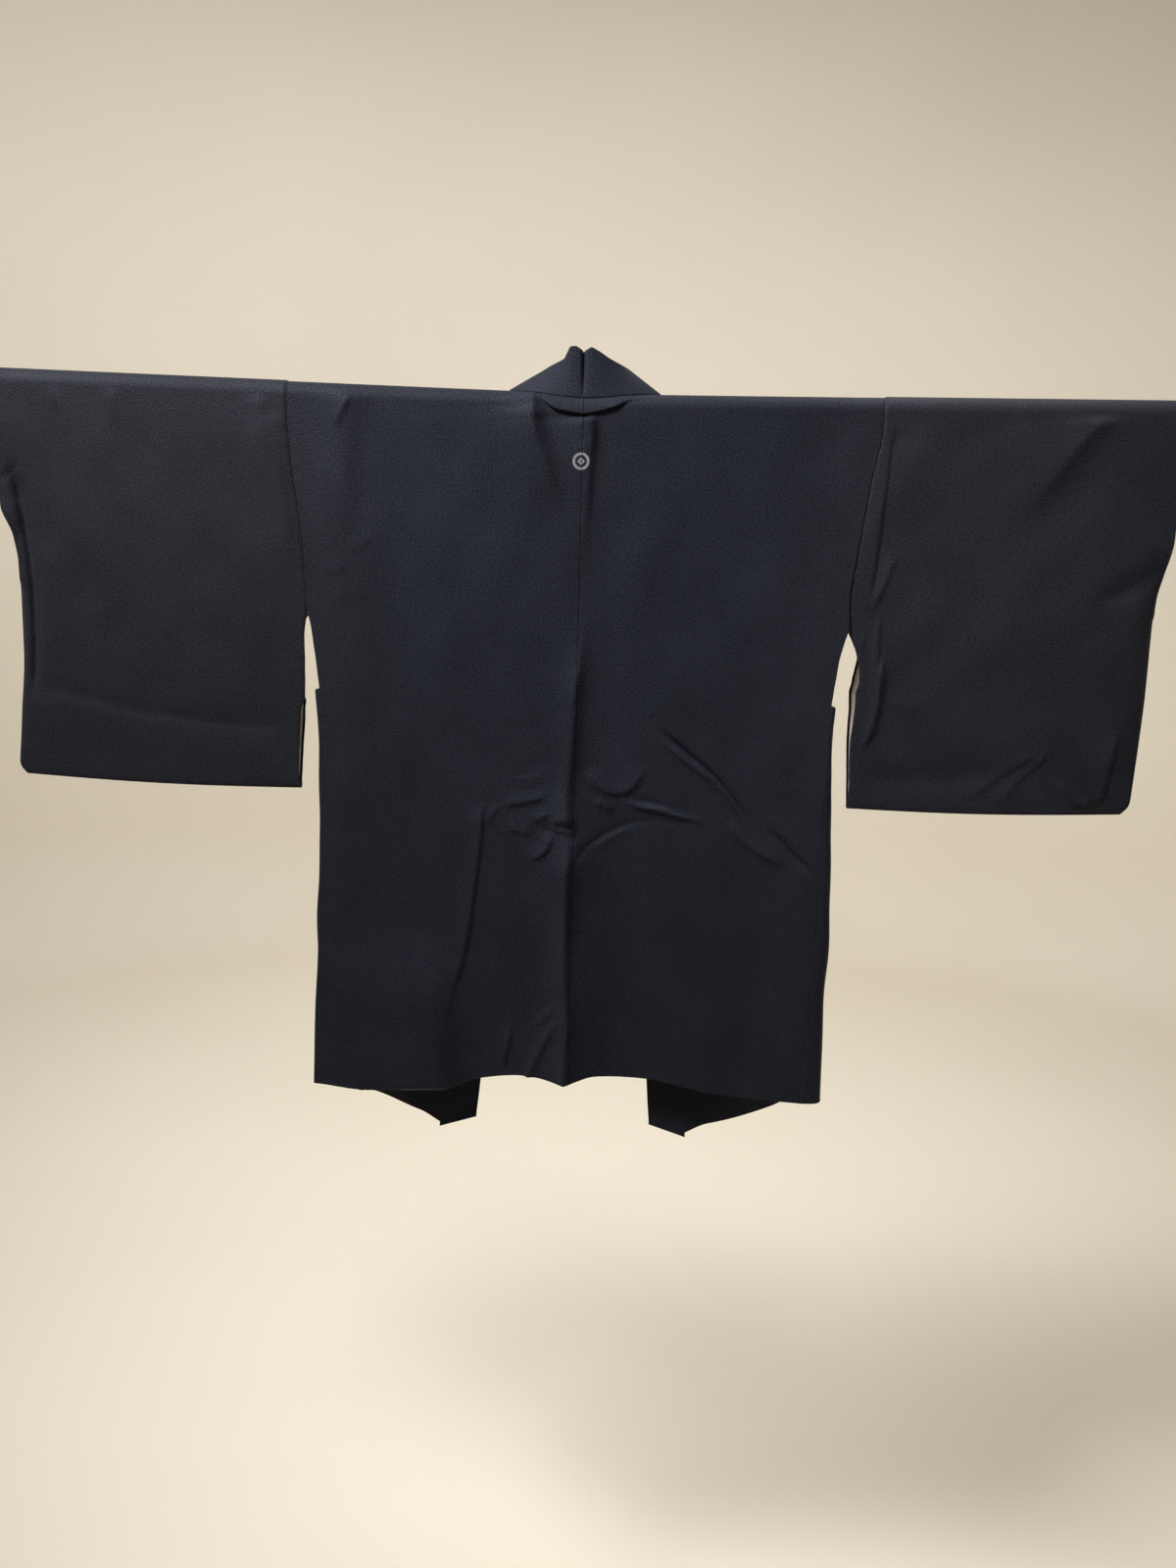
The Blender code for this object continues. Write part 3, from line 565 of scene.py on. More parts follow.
@dataclass
class Cloth:
    """The middle surface of one piece of cloth, gathered from patches that share points.

    Attributes:
        wall: Thickness away from the edges.
        roll: How far in from an edge the cloth reaches that thickness.
        edge_share: Thickness right at an edge, as a share of the wall.
    """

    wall: float
    roll: float = 0.0012
    edge_share: float = 0.35
    points: list[Array] = field(default_factory=list)
    faces: list[Array] = field(default_factory=list)
    cuts: list[Array] = field(default_factory=list)
    count: int = 0

    def place(self, grid: Array) -> Array:
        """Adds a grid of points, and returns their numbers in the grid's shape."""
        rows, columns = grid.shape[:2]
        numbers = np.arange(rows * columns).reshape(rows, columns) + self.count
        self.points.append(grid.reshape(-1, 3))
        self.count += rows * columns
        return numbers

    def weave(self, numbers: Array, cut: Array, keep: Array | None = None) -> None:
        """Joins a grid of placed points with faces.

        Args:
            numbers: The points' numbers, rows by columns.
            cut: Where each lies on the flat cut, in metres, rows by columns by 2.
            keep: Which faces to make, one row and column fewer than the points; None makes all.
        """

        def corners(grid: Array) -> Array:
            """The values at the four corners of every face of a grid."""
            return np.stack((grid[:-1, :-1], grid[:-1, 1:], grid[1:, 1:], grid[1:, :-1]), axis=2)

        wanted = np.ones((numbers.shape[0] - 1, numbers.shape[1] - 1), bool) if keep is None else keep
        self.faces.append(corners(numbers)[wanted])
        self.cuts.append(corners(cut)[wanted])

    def gather(self) -> tuple[Array, Array, Array]:
        """The used points, the faces as four numbers each, and each corner's place on the cut."""
        points, faces = np.concatenate(self.points), np.concatenate(self.faces)
        used, faces = np.unique(faces, return_inverse=True)
        return points[used], faces.reshape(-1, 4), np.concatenate(self.cuts)

    def mesh(self, name: str, inner: Array | None = None) -> Mesh:
        """Gives the surface its thickness.

        Args:
            name: The mesh's name.
            inner: Which faces take the second material on their inner side; None takes none.

        Returns:
            A closed mesh with the flat cut as its UV map, its outer side first.
        """
        points, faces, cuts = self.gather()
        normals = normals_of(points, faces)
        total = len(points)
        ends = np.stack((faces, np.roll(faces, -1, axis=1)), axis=2).reshape(-1, 2)
        end_cuts = np.stack((cuts, np.roll(cuts, -1, axis=1)), axis=2).reshape(-1, 2, 2)
        real = ends[:, 0] != ends[:, 1]
        ends, end_cuts = ends[real], end_cuts[real]
        key = ends.min(1) * total + ends.max(1)
        _, where, counts = np.unique(key, return_inverse=True, return_counts=True)
        open_ends = counts[where] == 1
        rim, rim_cuts = ends[open_ends], end_cuts[open_ends]

        half = np.full(total, self.wall / 2)
        edge = np.unique(rim)
        tree = KDTree(len(edge))
        for place, number in enumerate(edge):
            tree.insert(points[number], place)
        tree.balance()
        away = np.array([tree.find(point)[2] for point in points])
        part = np.clip(away / self.roll, 0, 1)
        half *= lerp(self.edge_share, 1.0, np.sqrt(1 - (1 - part) ** 2))

        outer, lining = points + normals * half[:, None], points - normals * half[:, None]
        corners = np.concatenate((
            faces,
            faces[:, ::-1] + total,
            np.stack((rim[:, 1], rim[:, 0], rim[:, 0] + total, rim[:, 1] + total), axis=1),
        ))
        flat = np.concatenate((
            cuts,
            cuts[:, ::-1],
            np.stack((rim_cuts[:, 1], rim_cuts[:, 0], rim_cuts[:, 0], rim_cuts[:, 1]), axis=1),
        ))
        kinds = np.zeros(len(corners), np.int32)
        if inner is not None:
            kinds[len(faces) : 2 * len(faces)] = inner
        return mesh_of(name, np.concatenate((outer, lining)), corners, flat, kinds)


def normals_of(points: Array, faces: Array) -> Array:
    """Unit normals of points, from the faces around each of them."""
    a, b, c, d = points[faces].transpose(1, 0, 2)
    facing = np.repeat(np.cross(c - a, d - b), 4, axis=0)
    flat = faces.ravel()
    normals = np.stack([np.bincount(flat, facing[:, axis], len(points)) for axis in range(3)], axis=1)
    return normals / np.maximum(np.linalg.norm(normals, axis=1), 1e-12)[:, None]


def mesh_of(
    name: str, points: Array, corners: Array, flat: Array, kinds: Array
) -> Mesh:
    """Makes a smooth-shaded mesh of faces with three or four corners.

    Args:
        name: The mesh's name.
        points: Its points.
        corners: Four point numbers for each face; one that repeats makes a triangle.
        flat: Each corner's place on the flat cut.
        kinds: Each face's material number.

    Returns:
        The mesh, with its UV map "cut".
    """
    single = corners != np.roll(corners, 1, axis=1)
    loops = [face[one].tolist() if not one.all() else face.tolist() for face, one in zip(corners, single)]
    mesh = bpy.data.meshes.new(name)
    mesh.from_pydata(points.tolist(), [], loops)
    mesh.polygons.foreach_set("material_index", kinds)
    layer = mesh.uv_layers.new(name="cut")
    layer.data.foreach_set("uv", flat[single].astype(np.float32).ravel())
    mesh.shade_smooth()
    mesh.update()
    return mesh


def cut_grid(grid: Array, across: Array) -> Array:
    """Where a grid of cloth lies on its flat cut.

    Args:
        grid: Points, rows by columns.
        across: Each column's distance across the cut.

    Returns:
        Distances across and along, rows by columns by 2.
    """
    steps = np.linalg.norm(np.diff(grid, axis=0), axis=2).mean(axis=1)
    along = np.concatenate(([0], np.cumsum(steps)))
    return np.stack(np.meshgrid(across, along), axis=2)


def add_object(name: str, data: ID) -> Object:
    """Puts an object in the scene, at the origin."""
    added = bpy.data.objects.new(name, data)
    bpy.context.scene.collection.objects.link(added)
    return added


def dress(
    name: str, mesh: Mesh, finishes: Sequence[Material], slot: str, *nodes: str
) -> Object:
    """Puts a finished mesh in the scene as a piece of the jacket.

    Args:
        name: The piece's name.
        mesh: Its mesh, in place.
        finishes: Its materials, in the order of its faces' material numbers.
        slot: The record's material slot; not used.
        *nodes: The frame's nodes that it stands for.

    Returns:
        The piece.
    """
    piece = add_object(name, mesh)
    for finish in finishes if not mesh.materials else ():
        mesh.materials.append(finish)
    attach(piece, BODY)
    if nodes:
        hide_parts(*nodes)
    LOG.info("%s: %d faces", name, len(mesh.polygons))
    return piece


# ---------------------------------------------------------------- finishes


def linear(code: str) -> tuple[float, float, float, float]:
    """An sRGB hex colour such as "20242b" as linear red, green, blue and full alpha."""
    parts = [int(code[at : at + 2], 16) / 255 for at in (0, 2, 4)]
    red, green, blue = (c / 12.92 if c <= 0.04045 else ((c + 0.055) / 1.055) ** 2.4 for c in parts)
    return red, green, blue, 1.0


def add_node(
    tree: NodeTree, kind: str, inputs: Mapping[str | int, Any] | None = None, **settings: Any
) -> Node:
    """Adds a node with its settings and links.

    Args:
        tree: The tree it goes in.
        kind: The node's type name.
        inputs: By name or number: a socket to link, a node whose first output is linked, or a value.
        **settings: Properties to set on it.

    Returns:
        The node.
    """
    node = tree.nodes.new(kind)
    for key, value in settings.items():
        setattr(node, key, value)
    for key, value in (inputs or {}).items():
        if isinstance(value, Node):
            value = value.outputs[0]
        if isinstance(value, NodeSocket):
            tree.links.new(value, node.inputs[key])
        else:
            node.inputs[key].default_value = value
    return node


def blended(
    tree: NodeTree, driver: Any, span: tuple[float, float], *codes: str
) -> NodeSocket:
    """A colour that runs from one sRGB code to another.

    Args:
        tree: The tree its nodes go in.
        driver: The node or socket that drives it.
        span: The driver's value at the first colour and at the second.
        *codes: The two colours.

    Returns:
        The colour.
    """
    first, second = map(linear, codes)
    share = add_node(tree, "ShaderNodeMapRange", {0: driver, 1: span[0], 2: span[1]})
    return add_node(tree, "ShaderNodeMix", {0: share, 6: first, 7: second}, data_type="RGBA").outputs[2]


@dataclass(frozen=True)
class Finish:
    """What the finishes share: a name, the two colours that a pattern runs between, and how one is made."""

    name: str
    dark: str
    light: str

    def looks(self, tree: NodeTree) -> dict[str, Any]:
        """The inputs of the Principled shader, with the nodes behind them."""
        raise NotImplementedError

    def make(self) -> Material:
        """Builds the material."""
        material = bpy.data.materials.new(self.name)
        material.use_nodes = True
        tree = material.node_tree
        tree.nodes.clear()
        shader = add_node(tree, "ShaderNodeBsdfPrincipled", self.looks(tree))
        add_node(tree, "ShaderNodeOutputMaterial", {"Surface": shader})
        return material


@dataclass(frozen=True)
class SilkCrepe(Finish):
    """Heavy silk crepe, woven with strongly twisted weft and dyed black with a blue cast.

    Its pebbled face scatters light, so it looks matt, with a weak silky bloom at grazing angles.
    """

    name: str = "black_silk_crepe"
    dark: str = "13151b"
    light: str = "24262f"
    gloss: str = "a6add2"
    side_gloss: str = "aeb2ca"
    sheen: str = "8f99bd"
    crested: bool = False

    def looks(self, tree: NodeTree) -> dict[str, Any]:
        """Pebbles, fine grain and faint clouds on the flat cut, in metres."""
        cut = add_node(tree, "ShaderNodeUVMap", uv_map="cut")
        # The real pebble is about 0.4 mm; it is drawn at about 1.5 mm, the finest that shows.
        scaled = add_node(tree, "ShaderNodeMapping", {"Vector": cut, "Scale": (560.0, 760.0, 1.0)})
        look = {"Vector": scaled, "Scale": 1.0, "Smoothness": 0.6}
        pebble = add_node(tree, "ShaderNodeTexVoronoi", look, voronoi_dimensions="2D", feature="SMOOTH_F1")
        looks = [{"Vector": cut, "Scale": scale, "Detail": 2.0} for scale in (480.0, 14.0)]
        grain, cloud = (add_node(tree, "ShaderNodeTexNoise", look, noise_dimensions="2D") for look in looks)
        tone = add_node(tree, "ShaderNodeMix", {0: 0.15, 2: grain, 3: cloud})
        colour = blended(tree, tone, (0.38, 0.62), self.dark, self.light)
        # Towards the outer parts of the cut the gloss is a little lighter and more neutral than in its
        # middle.
        across = add_node(tree, "ShaderNodeSeparateXYZ", {0: cut})
        out = add_node(tree, "ShaderNodeMath", {0: across}, operation="ABSOLUTE")
        rough = add_node(tree, "ShaderNodeMapRange", {0: tone, 1: 0.35, 2: 0.65, 3: 0.72, 4: 0.60})
        low = add_node(tree, "ShaderNodeMath", {0: grain, 1: 0.8}, operation="MULTIPLY")
        height = add_node(tree, "ShaderNodeMath", {0: pebble, 1: 0.6, 2: low}, operation="MULTIPLY_ADD")
        bump = add_node(tree, "ShaderNodeBump", {"Height": height, "Distance": 0.0005, "Strength": 0.8})
        return {
            "Base Color": Crest().paint(tree, colour) if self.crested else colour,
            "Roughness": rough,
            "Specular IOR Level": 0.29,
            "Specular Tint": blended(tree, out, (0.20, 0.31), self.gloss, self.side_gloss),
            "Sheen Weight": 0.08,
            "Sheen Roughness": 0.45,
            "Sheen Tint": linear(self.sheen),
            "Normal": bump,
        }


@dataclass(frozen=True)
class Crest:
    """A small generic mark on the centre seam, dyed out of the cloth in light grey: a ring and a diamond."""

    x: float = -0.0017
    z: float = -0.0587
    ring: float = 0.0080
    line: float = 0.0013
    soft: float = 0.0005
    diamond: float = 0.0042
    colour: str = "8b8b90"

    def paint(self, tree: NodeTree, cloth: NodeSocket) -> NodeSocket:
        """Mixes the mark over the cloth's colour.

        Args:
            tree: The material's tree.
            cloth: The cloth's colour.

        Returns:
            The colour with the mark.
        """
        place = add_node(tree, "ShaderNodeTexCoord").outputs["Object"]
        move = {"Vector": place, "Location": (-self.x, 0, -self.z), "Scale": (1, 0, 1)}
        centred = add_node(tree, "ShaderNodeMapping", move)
        far = add_node(tree, "ShaderNodeVectorMath", {0: centred}, operation="LENGTH")
        unsigned = add_node(tree, "ShaderNodeVectorMath", {0: centred}, operation="ABSOLUTE")
        slanted = add_node(tree, "ShaderNodeVectorMath", {0: unsigned, 1: (1, 0, 1)}, operation="DOT_PRODUCT")
        lines = []
        span = {1: self.line - self.soft, 2: self.line + self.soft, 3: 1.0, 4: 0.0}
        for distance, size in ((far, self.ring), (slanted, self.diamond - self.line)):
            terms = {0: distance.outputs["Value"], 1: size}
            off = add_node(tree, "ShaderNodeMath", terms, operation="SUBTRACT")
            away = add_node(tree, "ShaderNodeMath", {0: off}, operation="ABSOLUTE")
            lines.append(add_node(tree, "ShaderNodeMapRange", {0: away, **span}))
        mark = add_node(tree, "ShaderNodeMath", dict(enumerate(lines)), operation="MAXIMUM")
        # Only the back layer carries it.
        depth = add_node(tree, "ShaderNodeSeparateXYZ", {0: place}).outputs[1]
        behind = add_node(tree, "ShaderNodeMapRange", {0: depth, 1: -0.004, 2: -0.002, 3: 1.0, 4: 0.0})
        share = add_node(tree, "ShaderNodeMath", {0: mark, 1: behind}, operation="MULTIPLY")
        dyed = add_node(tree, "ShaderNodeMix", {0: share, 6: cloth, 7: linear(self.colour)}, data_type="RGBA")
        return dyed.outputs[2]


@dataclass(frozen=True)
class LiningSilk(Finish):
    """Thin plain-weave silk in a pinkish white, which gives the lining a soft, even gloss."""

    name: str = "pink_white_lining_silk"
    dark: str = "e6d8d3"
    light: str = "f6ebe7"
    thread: float = 0.0008

    def looks(self, tree: NodeTree) -> dict[str, Any]:
        """A plain weave and faint clouds on the flat cut, in metres."""
        cut = add_node(tree, "ShaderNodeUVMap", uv_map="cut")
        # Threads are 0.1 mm apart; the weave is drawn at 0.8 mm so that it shows.
        threads = (math.tau / self.thread,) * 3
        turned = add_node(tree, "ShaderNodeMapping", {"Vector": cut, "Scale": threads})
        waves = add_node(tree, "ShaderNodeVectorMath", {0: turned}, operation="SINE")
        parts = add_node(tree, "ShaderNodeSeparateXYZ", {0: waves})
        weave = add_node(tree, "ShaderNodeMath", dict(enumerate(parts.outputs[:2])), operation="MULTIPLY")
        look = {"Vector": cut, "Scale": 45.0, "Detail": 3.0}
        cloud = add_node(tree, "ShaderNodeTexNoise", look, noise_dimensions="2D")
        bump = add_node(tree, "ShaderNodeBump", {"Height": weave, "Distance": 0.0001, "Strength": 0.4})
        return {
            "Base Color": blended(tree, cloud, (0.3, 0.7), self.dark, self.light),
            "Roughness": add_node(tree, "ShaderNodeMapRange", {0: cloud, 1: 0.3, 2: 0.7, 3: 0.42, 4: 0.52}),
            "Specular IOR Level": 0.4,
            "Sheen Weight": 0.12,
            "Normal": bump,
        }


@dataclass(frozen=True)
class BlackPaint(Finish):
    """Gloss black paint on drawn steel tube: a smooth coat with faint orange peel and light rubbing marks."""

    name: str = "gloss_black_paint_on_steel"
    dark: str = "0d0d0e"
    light: str = "1b1b1c"

    def looks(self, tree: NodeTree) -> dict[str, Any]:
        """Orange peel about 2 mm across, and rubbing marks along the tube where its colour is lighter."""
        place = add_node(tree, "ShaderNodeTexCoord").outputs["Object"]
        peel = add_node(tree, "ShaderNodeTexNoise", {"Vector": place, "Scale": 420.0, "Detail": 1.0})
        drawn = add_node(tree, "ShaderNodeMapping", {"Vector": place, "Scale": (25.0, 260.0, 260.0)})
        rubbed = add_node(tree, "ShaderNodeTexNoise", {"Vector": drawn, "Scale": 1.0, "Detail": 4.0})
        bump = add_node(tree, "ShaderNodeBump", {"Height": peel, "Distance": 0.00006, "Strength": 0.5})
        return {
            "Base Color": blended(tree, rubbed, (0.5, 0.72), self.dark, self.light),
            "Roughness": add_node(tree, "ShaderNodeMapRange", {0: rubbed, 1: 0.5, 2: 0.72, 3: 0.22, 4: 0.42}),
            "Normal": bump,
        }


@dataclass(frozen=True)
class SilkThread(Finish):
    """Twisted black silk sewing thread, slightly brighter than the crepe because its fibres lie together."""

    name: str = "black_silk_thread"
    dark: str = "101114"
    light: str = "2b2d34"

    def looks(self, tree: NodeTree) -> dict[str, Any]:
        """The thread's twist, drawn at 1.2 mm along it."""
        place = add_node(tree, "ShaderNodeTexCoord").outputs["Object"]
        look = {"Vector": place, "Scale": 520.0, "Distortion": 1.0}
        twist = add_node(tree, "ShaderNodeTexWave", look, bands_direction="DIAGONAL")
        colour = blended(tree, twist.outputs["Fac"], (0.0, 1.0), self.dark, self.light)
        return {"Base Color": colour, "Roughness": 0.5, "Specular IOR Level": 0.35}


@dataclass(frozen=True)
class WallPaint(Finish):
    """Flat cream wall paint, rolled on: even and matt, with slow, barely visible changes of tone."""

    name: str = "matt_cream_wall_paint"
    dark: str = "e6dfd2"
    light: str = "ece6da"

    def looks(self, tree: NodeTree) -> dict[str, Any]:
        """Clouds about 1 m across."""
        place = add_node(tree, "ShaderNodeTexCoord").outputs["Object"]
        cloud = add_node(tree, "ShaderNodeTexNoise", {"Vector": place, "Scale": 1.1, "Detail": 2.0})
        colour = blended(tree, cloud, (0.0, 1.0), self.dark, self.light)
        return {"Base Color": colour, "Roughness": 0.9, "Specular IOR Level": 0.2}


@dataclass(frozen=True)
class Finishes:
    """The materials of all pieces, made once."""

    crepe: Material
    sleeve: Material
    crested: Material
    lining: Material
    paint: Material
    thread: Material
    wall: Material

    @classmethod
    def make(cls) -> "Finishes":
        """Builds every material."""
        grey = "aeb2ca"
        sleeves = SilkCrepe("black_silk_crepe_of_sleeves", "15161c", "25272f", grey, grey, sheen="9a9eb2")
        crested = SilkCrepe("black_silk_crepe_with_crest", crested=True)
        kinds = (SilkCrepe(), sleeves, crested, LiningSilk(), BlackPaint(), SilkThread(), WallPaint())
        return cls(*(kind.make() for kind in kinds))


# ---------------------------------------------------------------- the pieces


@dataclass
class BodyPanel:
    """One body panel: back, shoulder and front in one length of cloth, face and lining sewn as one."""

    side: Side
    wall: float = 0.002
    step: float = 0.0038
    column_step: float = 0.0026
    waist_step: float = 0.0021
    waist_low: float = -0.540
    fine_step: float = 0.0018
    front_step: float = 0.0120
    fine_low: float = -0.016
    below_edge: float = 0.0200
    above_edge: float = 0.0120
    arc_rows: int = 12
    lip_height: float = 0.0039
    lip_sag: float = 0.0015
    lip_tuck: float = 0.0016
    lip_end: float = 0.022
    lip_roll: float = 0.0012
    top_ease: float = 0.013
    seam_ease: float = 0.030
    slack_top: float = -0.050
    skirt_top: float = -0.30
    skirt_run: float = 0.35
    rod_clear: float = -0.034
    rod_ease: float = 0.018
    front_wave: float = 0.22
    facing_top: float = -0.600
    flat_width: float = 0.333
    cut_length: float = 1.70
    neck_cut: float = 0.86

    def shares(self) -> tuple[Array, Array]:
        """Columns inside the neck, as distances from the centre, and beyond it, as shares of the way out."""
        inner = graded(NECK_HALF, self.column_step)[:-1] * NECK_HALF
        return inner, graded(self.flat_width - NECK_HALF, self.column_step)

    def across(self, out: Array) -> Array:
        """X of every column, without its sign, in rows whose side edges lie at out."""
        inner, shares = self.shares()
        inside = np.broadcast_to(inner, (len(out), len(inner)))
        return np.concatenate((inside, lerp(NECK_HALF, out[:, None], shares)), axis=1)

    def lip_edge(self, x: Array) -> Array:
        """Height, along the cloth above the lowest fine row, of the lip's lower edge at each x."""
        xs, zs = zip(*LIP_EDGE)
        z = np.interp(x, xs, zs) * 0.5 + through(xs, zs, x) * 0.5
        height = np.where(z > 0, BODY_RADIUS * np.arcsin(np.clip(z / BODY_RADIUS, 0, 1)), z)
        return height - self.fine_low + self.lip_sag * smooth(8 * self.lip_share(x))

    def lip_share(self, x: Array) -> Array:
        """How far the lip is grown at each x, from 0 at its two ends to 1."""
        start, end = LIP_EDGE[0][0], LIP_EDGE[-1][0]
        return smooth((x - start) / self.lip_end) * smooth((end - x) / self.lip_end)

    def back(self) -> Array:
        """Points of the back and shoulder, from the hem to the top of the rod."""
        side, sign = self.side, self.side.value
        hem_xs, hem_zs = zip(*BACK_HEM)
        edge_hem = side_hem(side)
        spots = paced((
            (edge_hem + EDGE_OFFSETS[-1], self.step), (self.waist_low - 0.02, self.step),
            (self.waist_low, self.waist_step), (GUSSET_TOP_Z, self.waist_step),
        ))
        share = np.concatenate((EDGE_OFFSETS[:-1], spots - edge_hem)) / (GUSSET_TOP_Z - edge_hem)
        low_x = self.across(BACK_SIDE.at(side, lerp(edge_hem, GUSSET_TOP_Z, share)))
        low_z = lerp(through(hem_xs, hem_zs, sign * low_x), GUSSET_TOP_Z, share[:, None])
        levels = paced((
            (GUSSET_TOP_Z, self.waist_step), (GUSSET_TOP_Z + 0.03, self.step), (self.fine_low, self.step),
        ))[1:-1]
        high_x = self.across(BACK_SIDE.at(side, levels))
        high_z = np.broadcast_to(levels[:, None], high_x.shape)
        # From here up the rows follow the lip's edge, so that its underside is crisp.
        top_x = self.across(np.full(1, float(BACK_SIDE.at(side, self.fine_low))))
        edge = self.lip_edge(sign * top_x)
        whole = BODY_RADIUS * (math.pi / 2 - neck_angle(top_x)) - self.fine_low
        below = graded(self.below_edge, self.fine_step, start=False)[:, None]
        above = graded(self.above_edge, self.fine_step)[1:, None]
        way = np.concatenate((edge * below, lerp(edge, whole, above)))
        top_x = np.broadcast_to(top_x, way.shape)
        top_lean = np.maximum(way + self.fine_low, 0) / BODY_RADIUS
        top_z = np.where(top_lean > 0, BODY_RADIUS * np.sin(top_lean), way + self.fine_low)

        x = sign * np.concatenate((low_x, high_x, top_x))
        z = np.concatenate((low_z, high_z, top_z))
        plain = np.ones((len(x) - len(way), x.shape[1]))
        lean = np.concatenate((0 * plain, top_lean))
        past = np.concatenate((-plain, edge * (below - 1), (whole - edge) * above))
        full = np.concatenate((plain, np.broadcast_to(whole - edge, way.shape)))
        rest = 1 - np.clip(past / full, 0, 1)
        under = -self.lip_tuck * np.exp(past / self.lip_roll)
        sag = np.where(past >= -1e-9, self.lip_sag * rest**2, under) * self.lip_share(x)
        out = np.where(past >= 0, self.lip_height * rest**0.8, 0) * self.lip_share(x)
        facing = np.stack((np.zeros_like(x), -np.cos(lean), np.sin(lean)), axis=2)
        points = hung(x, -BODY_RADIUS * np.cos(lean), z) + facing * (self.folds(x, z) + out)[..., None]
        points[..., 2] -= sag
        return points

    def folds(self, x: Array, z: Array) -> Array:
        """How far the folds of the back lift it at each x, z, before the rod's rise."""
        sign = self.side.value
        edge = np.abs(BACK_SIDE.at(self.side, z)) - np.abs(x)
        height = z + rise(x)
        lift = relief(BACK_CREASES, x, height)
        lift += BACK_DRAPE.lift(x, height) * smooth(z / self.slack_top)
        lift += SKIRT_DRAPE.lift(x, height) * smooth((self.skirt_top - z) / self.skirt_run)
        # Nothing may sink into the rod, and the seams hold the cloth flat.
        near_rod = smooth((z - self.rod_clear) / self.rod_ease)
        lift = lerp(lift, np.maximum(lift, 0), near_rod) * smooth(edge / self.seam_ease)
        lift += SEAM_PUCKER.lift(z + 3.0 * sign, edge)
        lift += SEAM_PUCKER.lift(z, np.abs(x))
        along = np.minimum(z, 0) + BODY_RADIUS * np.arcsin(np.clip(z / BODY_RADIUS, 0, 1))
        return lift * smooth((BODY_RADIUS * (math.pi / 2 - neck_angle(x)) - along) / self.top_ease)

    def front(self) -> Array:
        """Points of the front, from the top of the shoulder to the hem."""
        side, sign = self.side, self.side.value
        _, shares = self.shares()
        turn = np.linspace(0, math.pi / 2, self.arc_rows + 1)[1:]
        seam = lerp(NECK_HALF, float(COLLAR_SEAM.at(side, 0)), turn / (math.pi / 2))
        arc_x = sign * lerp(seam[:, None], float(BACK_SIDE.at(side, 0)), shares)
        arc = hung(arc_x, BODY_RADIUS * np.sin(turn)[:, None], BODY_RADIUS * np.cos(turn)[:, None])
        high = np.arange(-self.front_step, GUSSET_TOP_Z, -self.front_step)
        hem_shares, hem_zs = zip(*FRONT_HEM)
        hem = through(hem_shares, hem_zs, shares)
        low = 1 - graded(GUSSET_TOP_Z - FRONT_HEM[0][1], self.front_step, end=False)[::-1]
        z = np.concatenate((
            np.broadcast_to(high[:, None], (len(high), len(shares))),
            lerp(GUSSET_TOP_Z, hem, low[:, None]),
        ))
        share = np.broadcast_to(shares, z.shape)
        plan = front_plan(side, z)
        flat = bezier(plan, share)
        tangent = np.gradient(flat, axis=1)
        tangent /= np.linalg.norm(tangent, axis=2, keepdims=True)
        outward = np.stack((-tangent[..., 1], tangent[..., 0]), axis=2) * sign
        lift = FRONT_DRAPE.lift(share * self.front_wave + 0.4 * sign, z) * smooth(-z / 0.3)
        lift = lift * smooth(share * 8) * smooth((1 - share) * 8)
        flat = flat + outward * lift[..., None]
        return np.concatenate((arc, hung(flat[..., 0], flat[..., 1], z)))

    def build(self, finishes: Finishes) -> Object:
        """Sews the panel and dresses it.

        Args:
            finishes: The materials.

        Returns:
            The piece.
        """
        side, label = self.side, self.side.label
        inner, shares = self.shares()
        back, front = self.back(), self.front()
        blank = np.zeros((len(front), len(inner), 3))
        grid = np.concatenate((back, np.concatenate((blank, front), axis=1)))
        across = np.concatenate((inner, lerp(NECK_HALF, self.flat_width, shares)))
        cut = cut_grid(grid[:, len(inner) :], across * side.value)
        keep = np.ones((grid.shape[0] - 1, grid.shape[1] - 1), bool)
        keep[len(back) - 1 :, : len(inner)] = False
        if side is Side.LEFT:
            grid, cut, keep = grid[:, ::-1], cut[:, ::-1], keep[:, ::-1]
        cloth = Cloth(self.wall)
        cloth.weave(cloth.place(grid), cut, keep)
        points, faces, _ = cloth.gather()
        lined = points[faces][..., 2].mean(axis=1) > self.facing_top
        name = f"body_{label}_crepe"
        mesh = cloth.mesh(name, lined.astype(np.int32))
        piece = dress(name, mesh, (finishes.crested, finishes.lining), "silk_crepe", f"body_{label}")
        return piece


def front_plan(side: Side, z: Array) -> tuple[Array, Array, Array, Array]:
    """The cubic curve that a front panel follows in plan at each height, from collar seam to side.

    Args:
        side: The panel's side.
        z: Heights.

    Returns:
        Four control points, each with x and y on its last axis.
    """
    sign = side.value
    start_x = COLLAR_SEAM.at(side, z)
    high = z >= GUSSET_TOP_Z
    end_x = np.where(high, BACK_SIDE.at(side, z), FRONT_SIDE.at(side, z))
    end_y = np.where(high, BODY_RADIUS, FRONT_DEPTH.at(side, z) + BODY_RADIUS - SIDE_TUCK)
    slack = smooth((FALL_TOP - z) / FALL_DROP) * FALL_MOST
    third = (end_x - start_x) / 3
    places = (
        (start_x, np.full_like(start_x, BODY_RADIUS)),
        (start_x + third * lerp(1, FALL_SPREAD, slack), BODY_RADIUS + FALL_DEPTH * slack),
        (end_x - third * (1 - slack) + FALL_TURN[0] * slack, end_y + FALL_TURN[1] * slack),
        (end_x, end_y),
    )
    return tuple(np.stack((sign * x, y), axis=-1) for x, y in places)


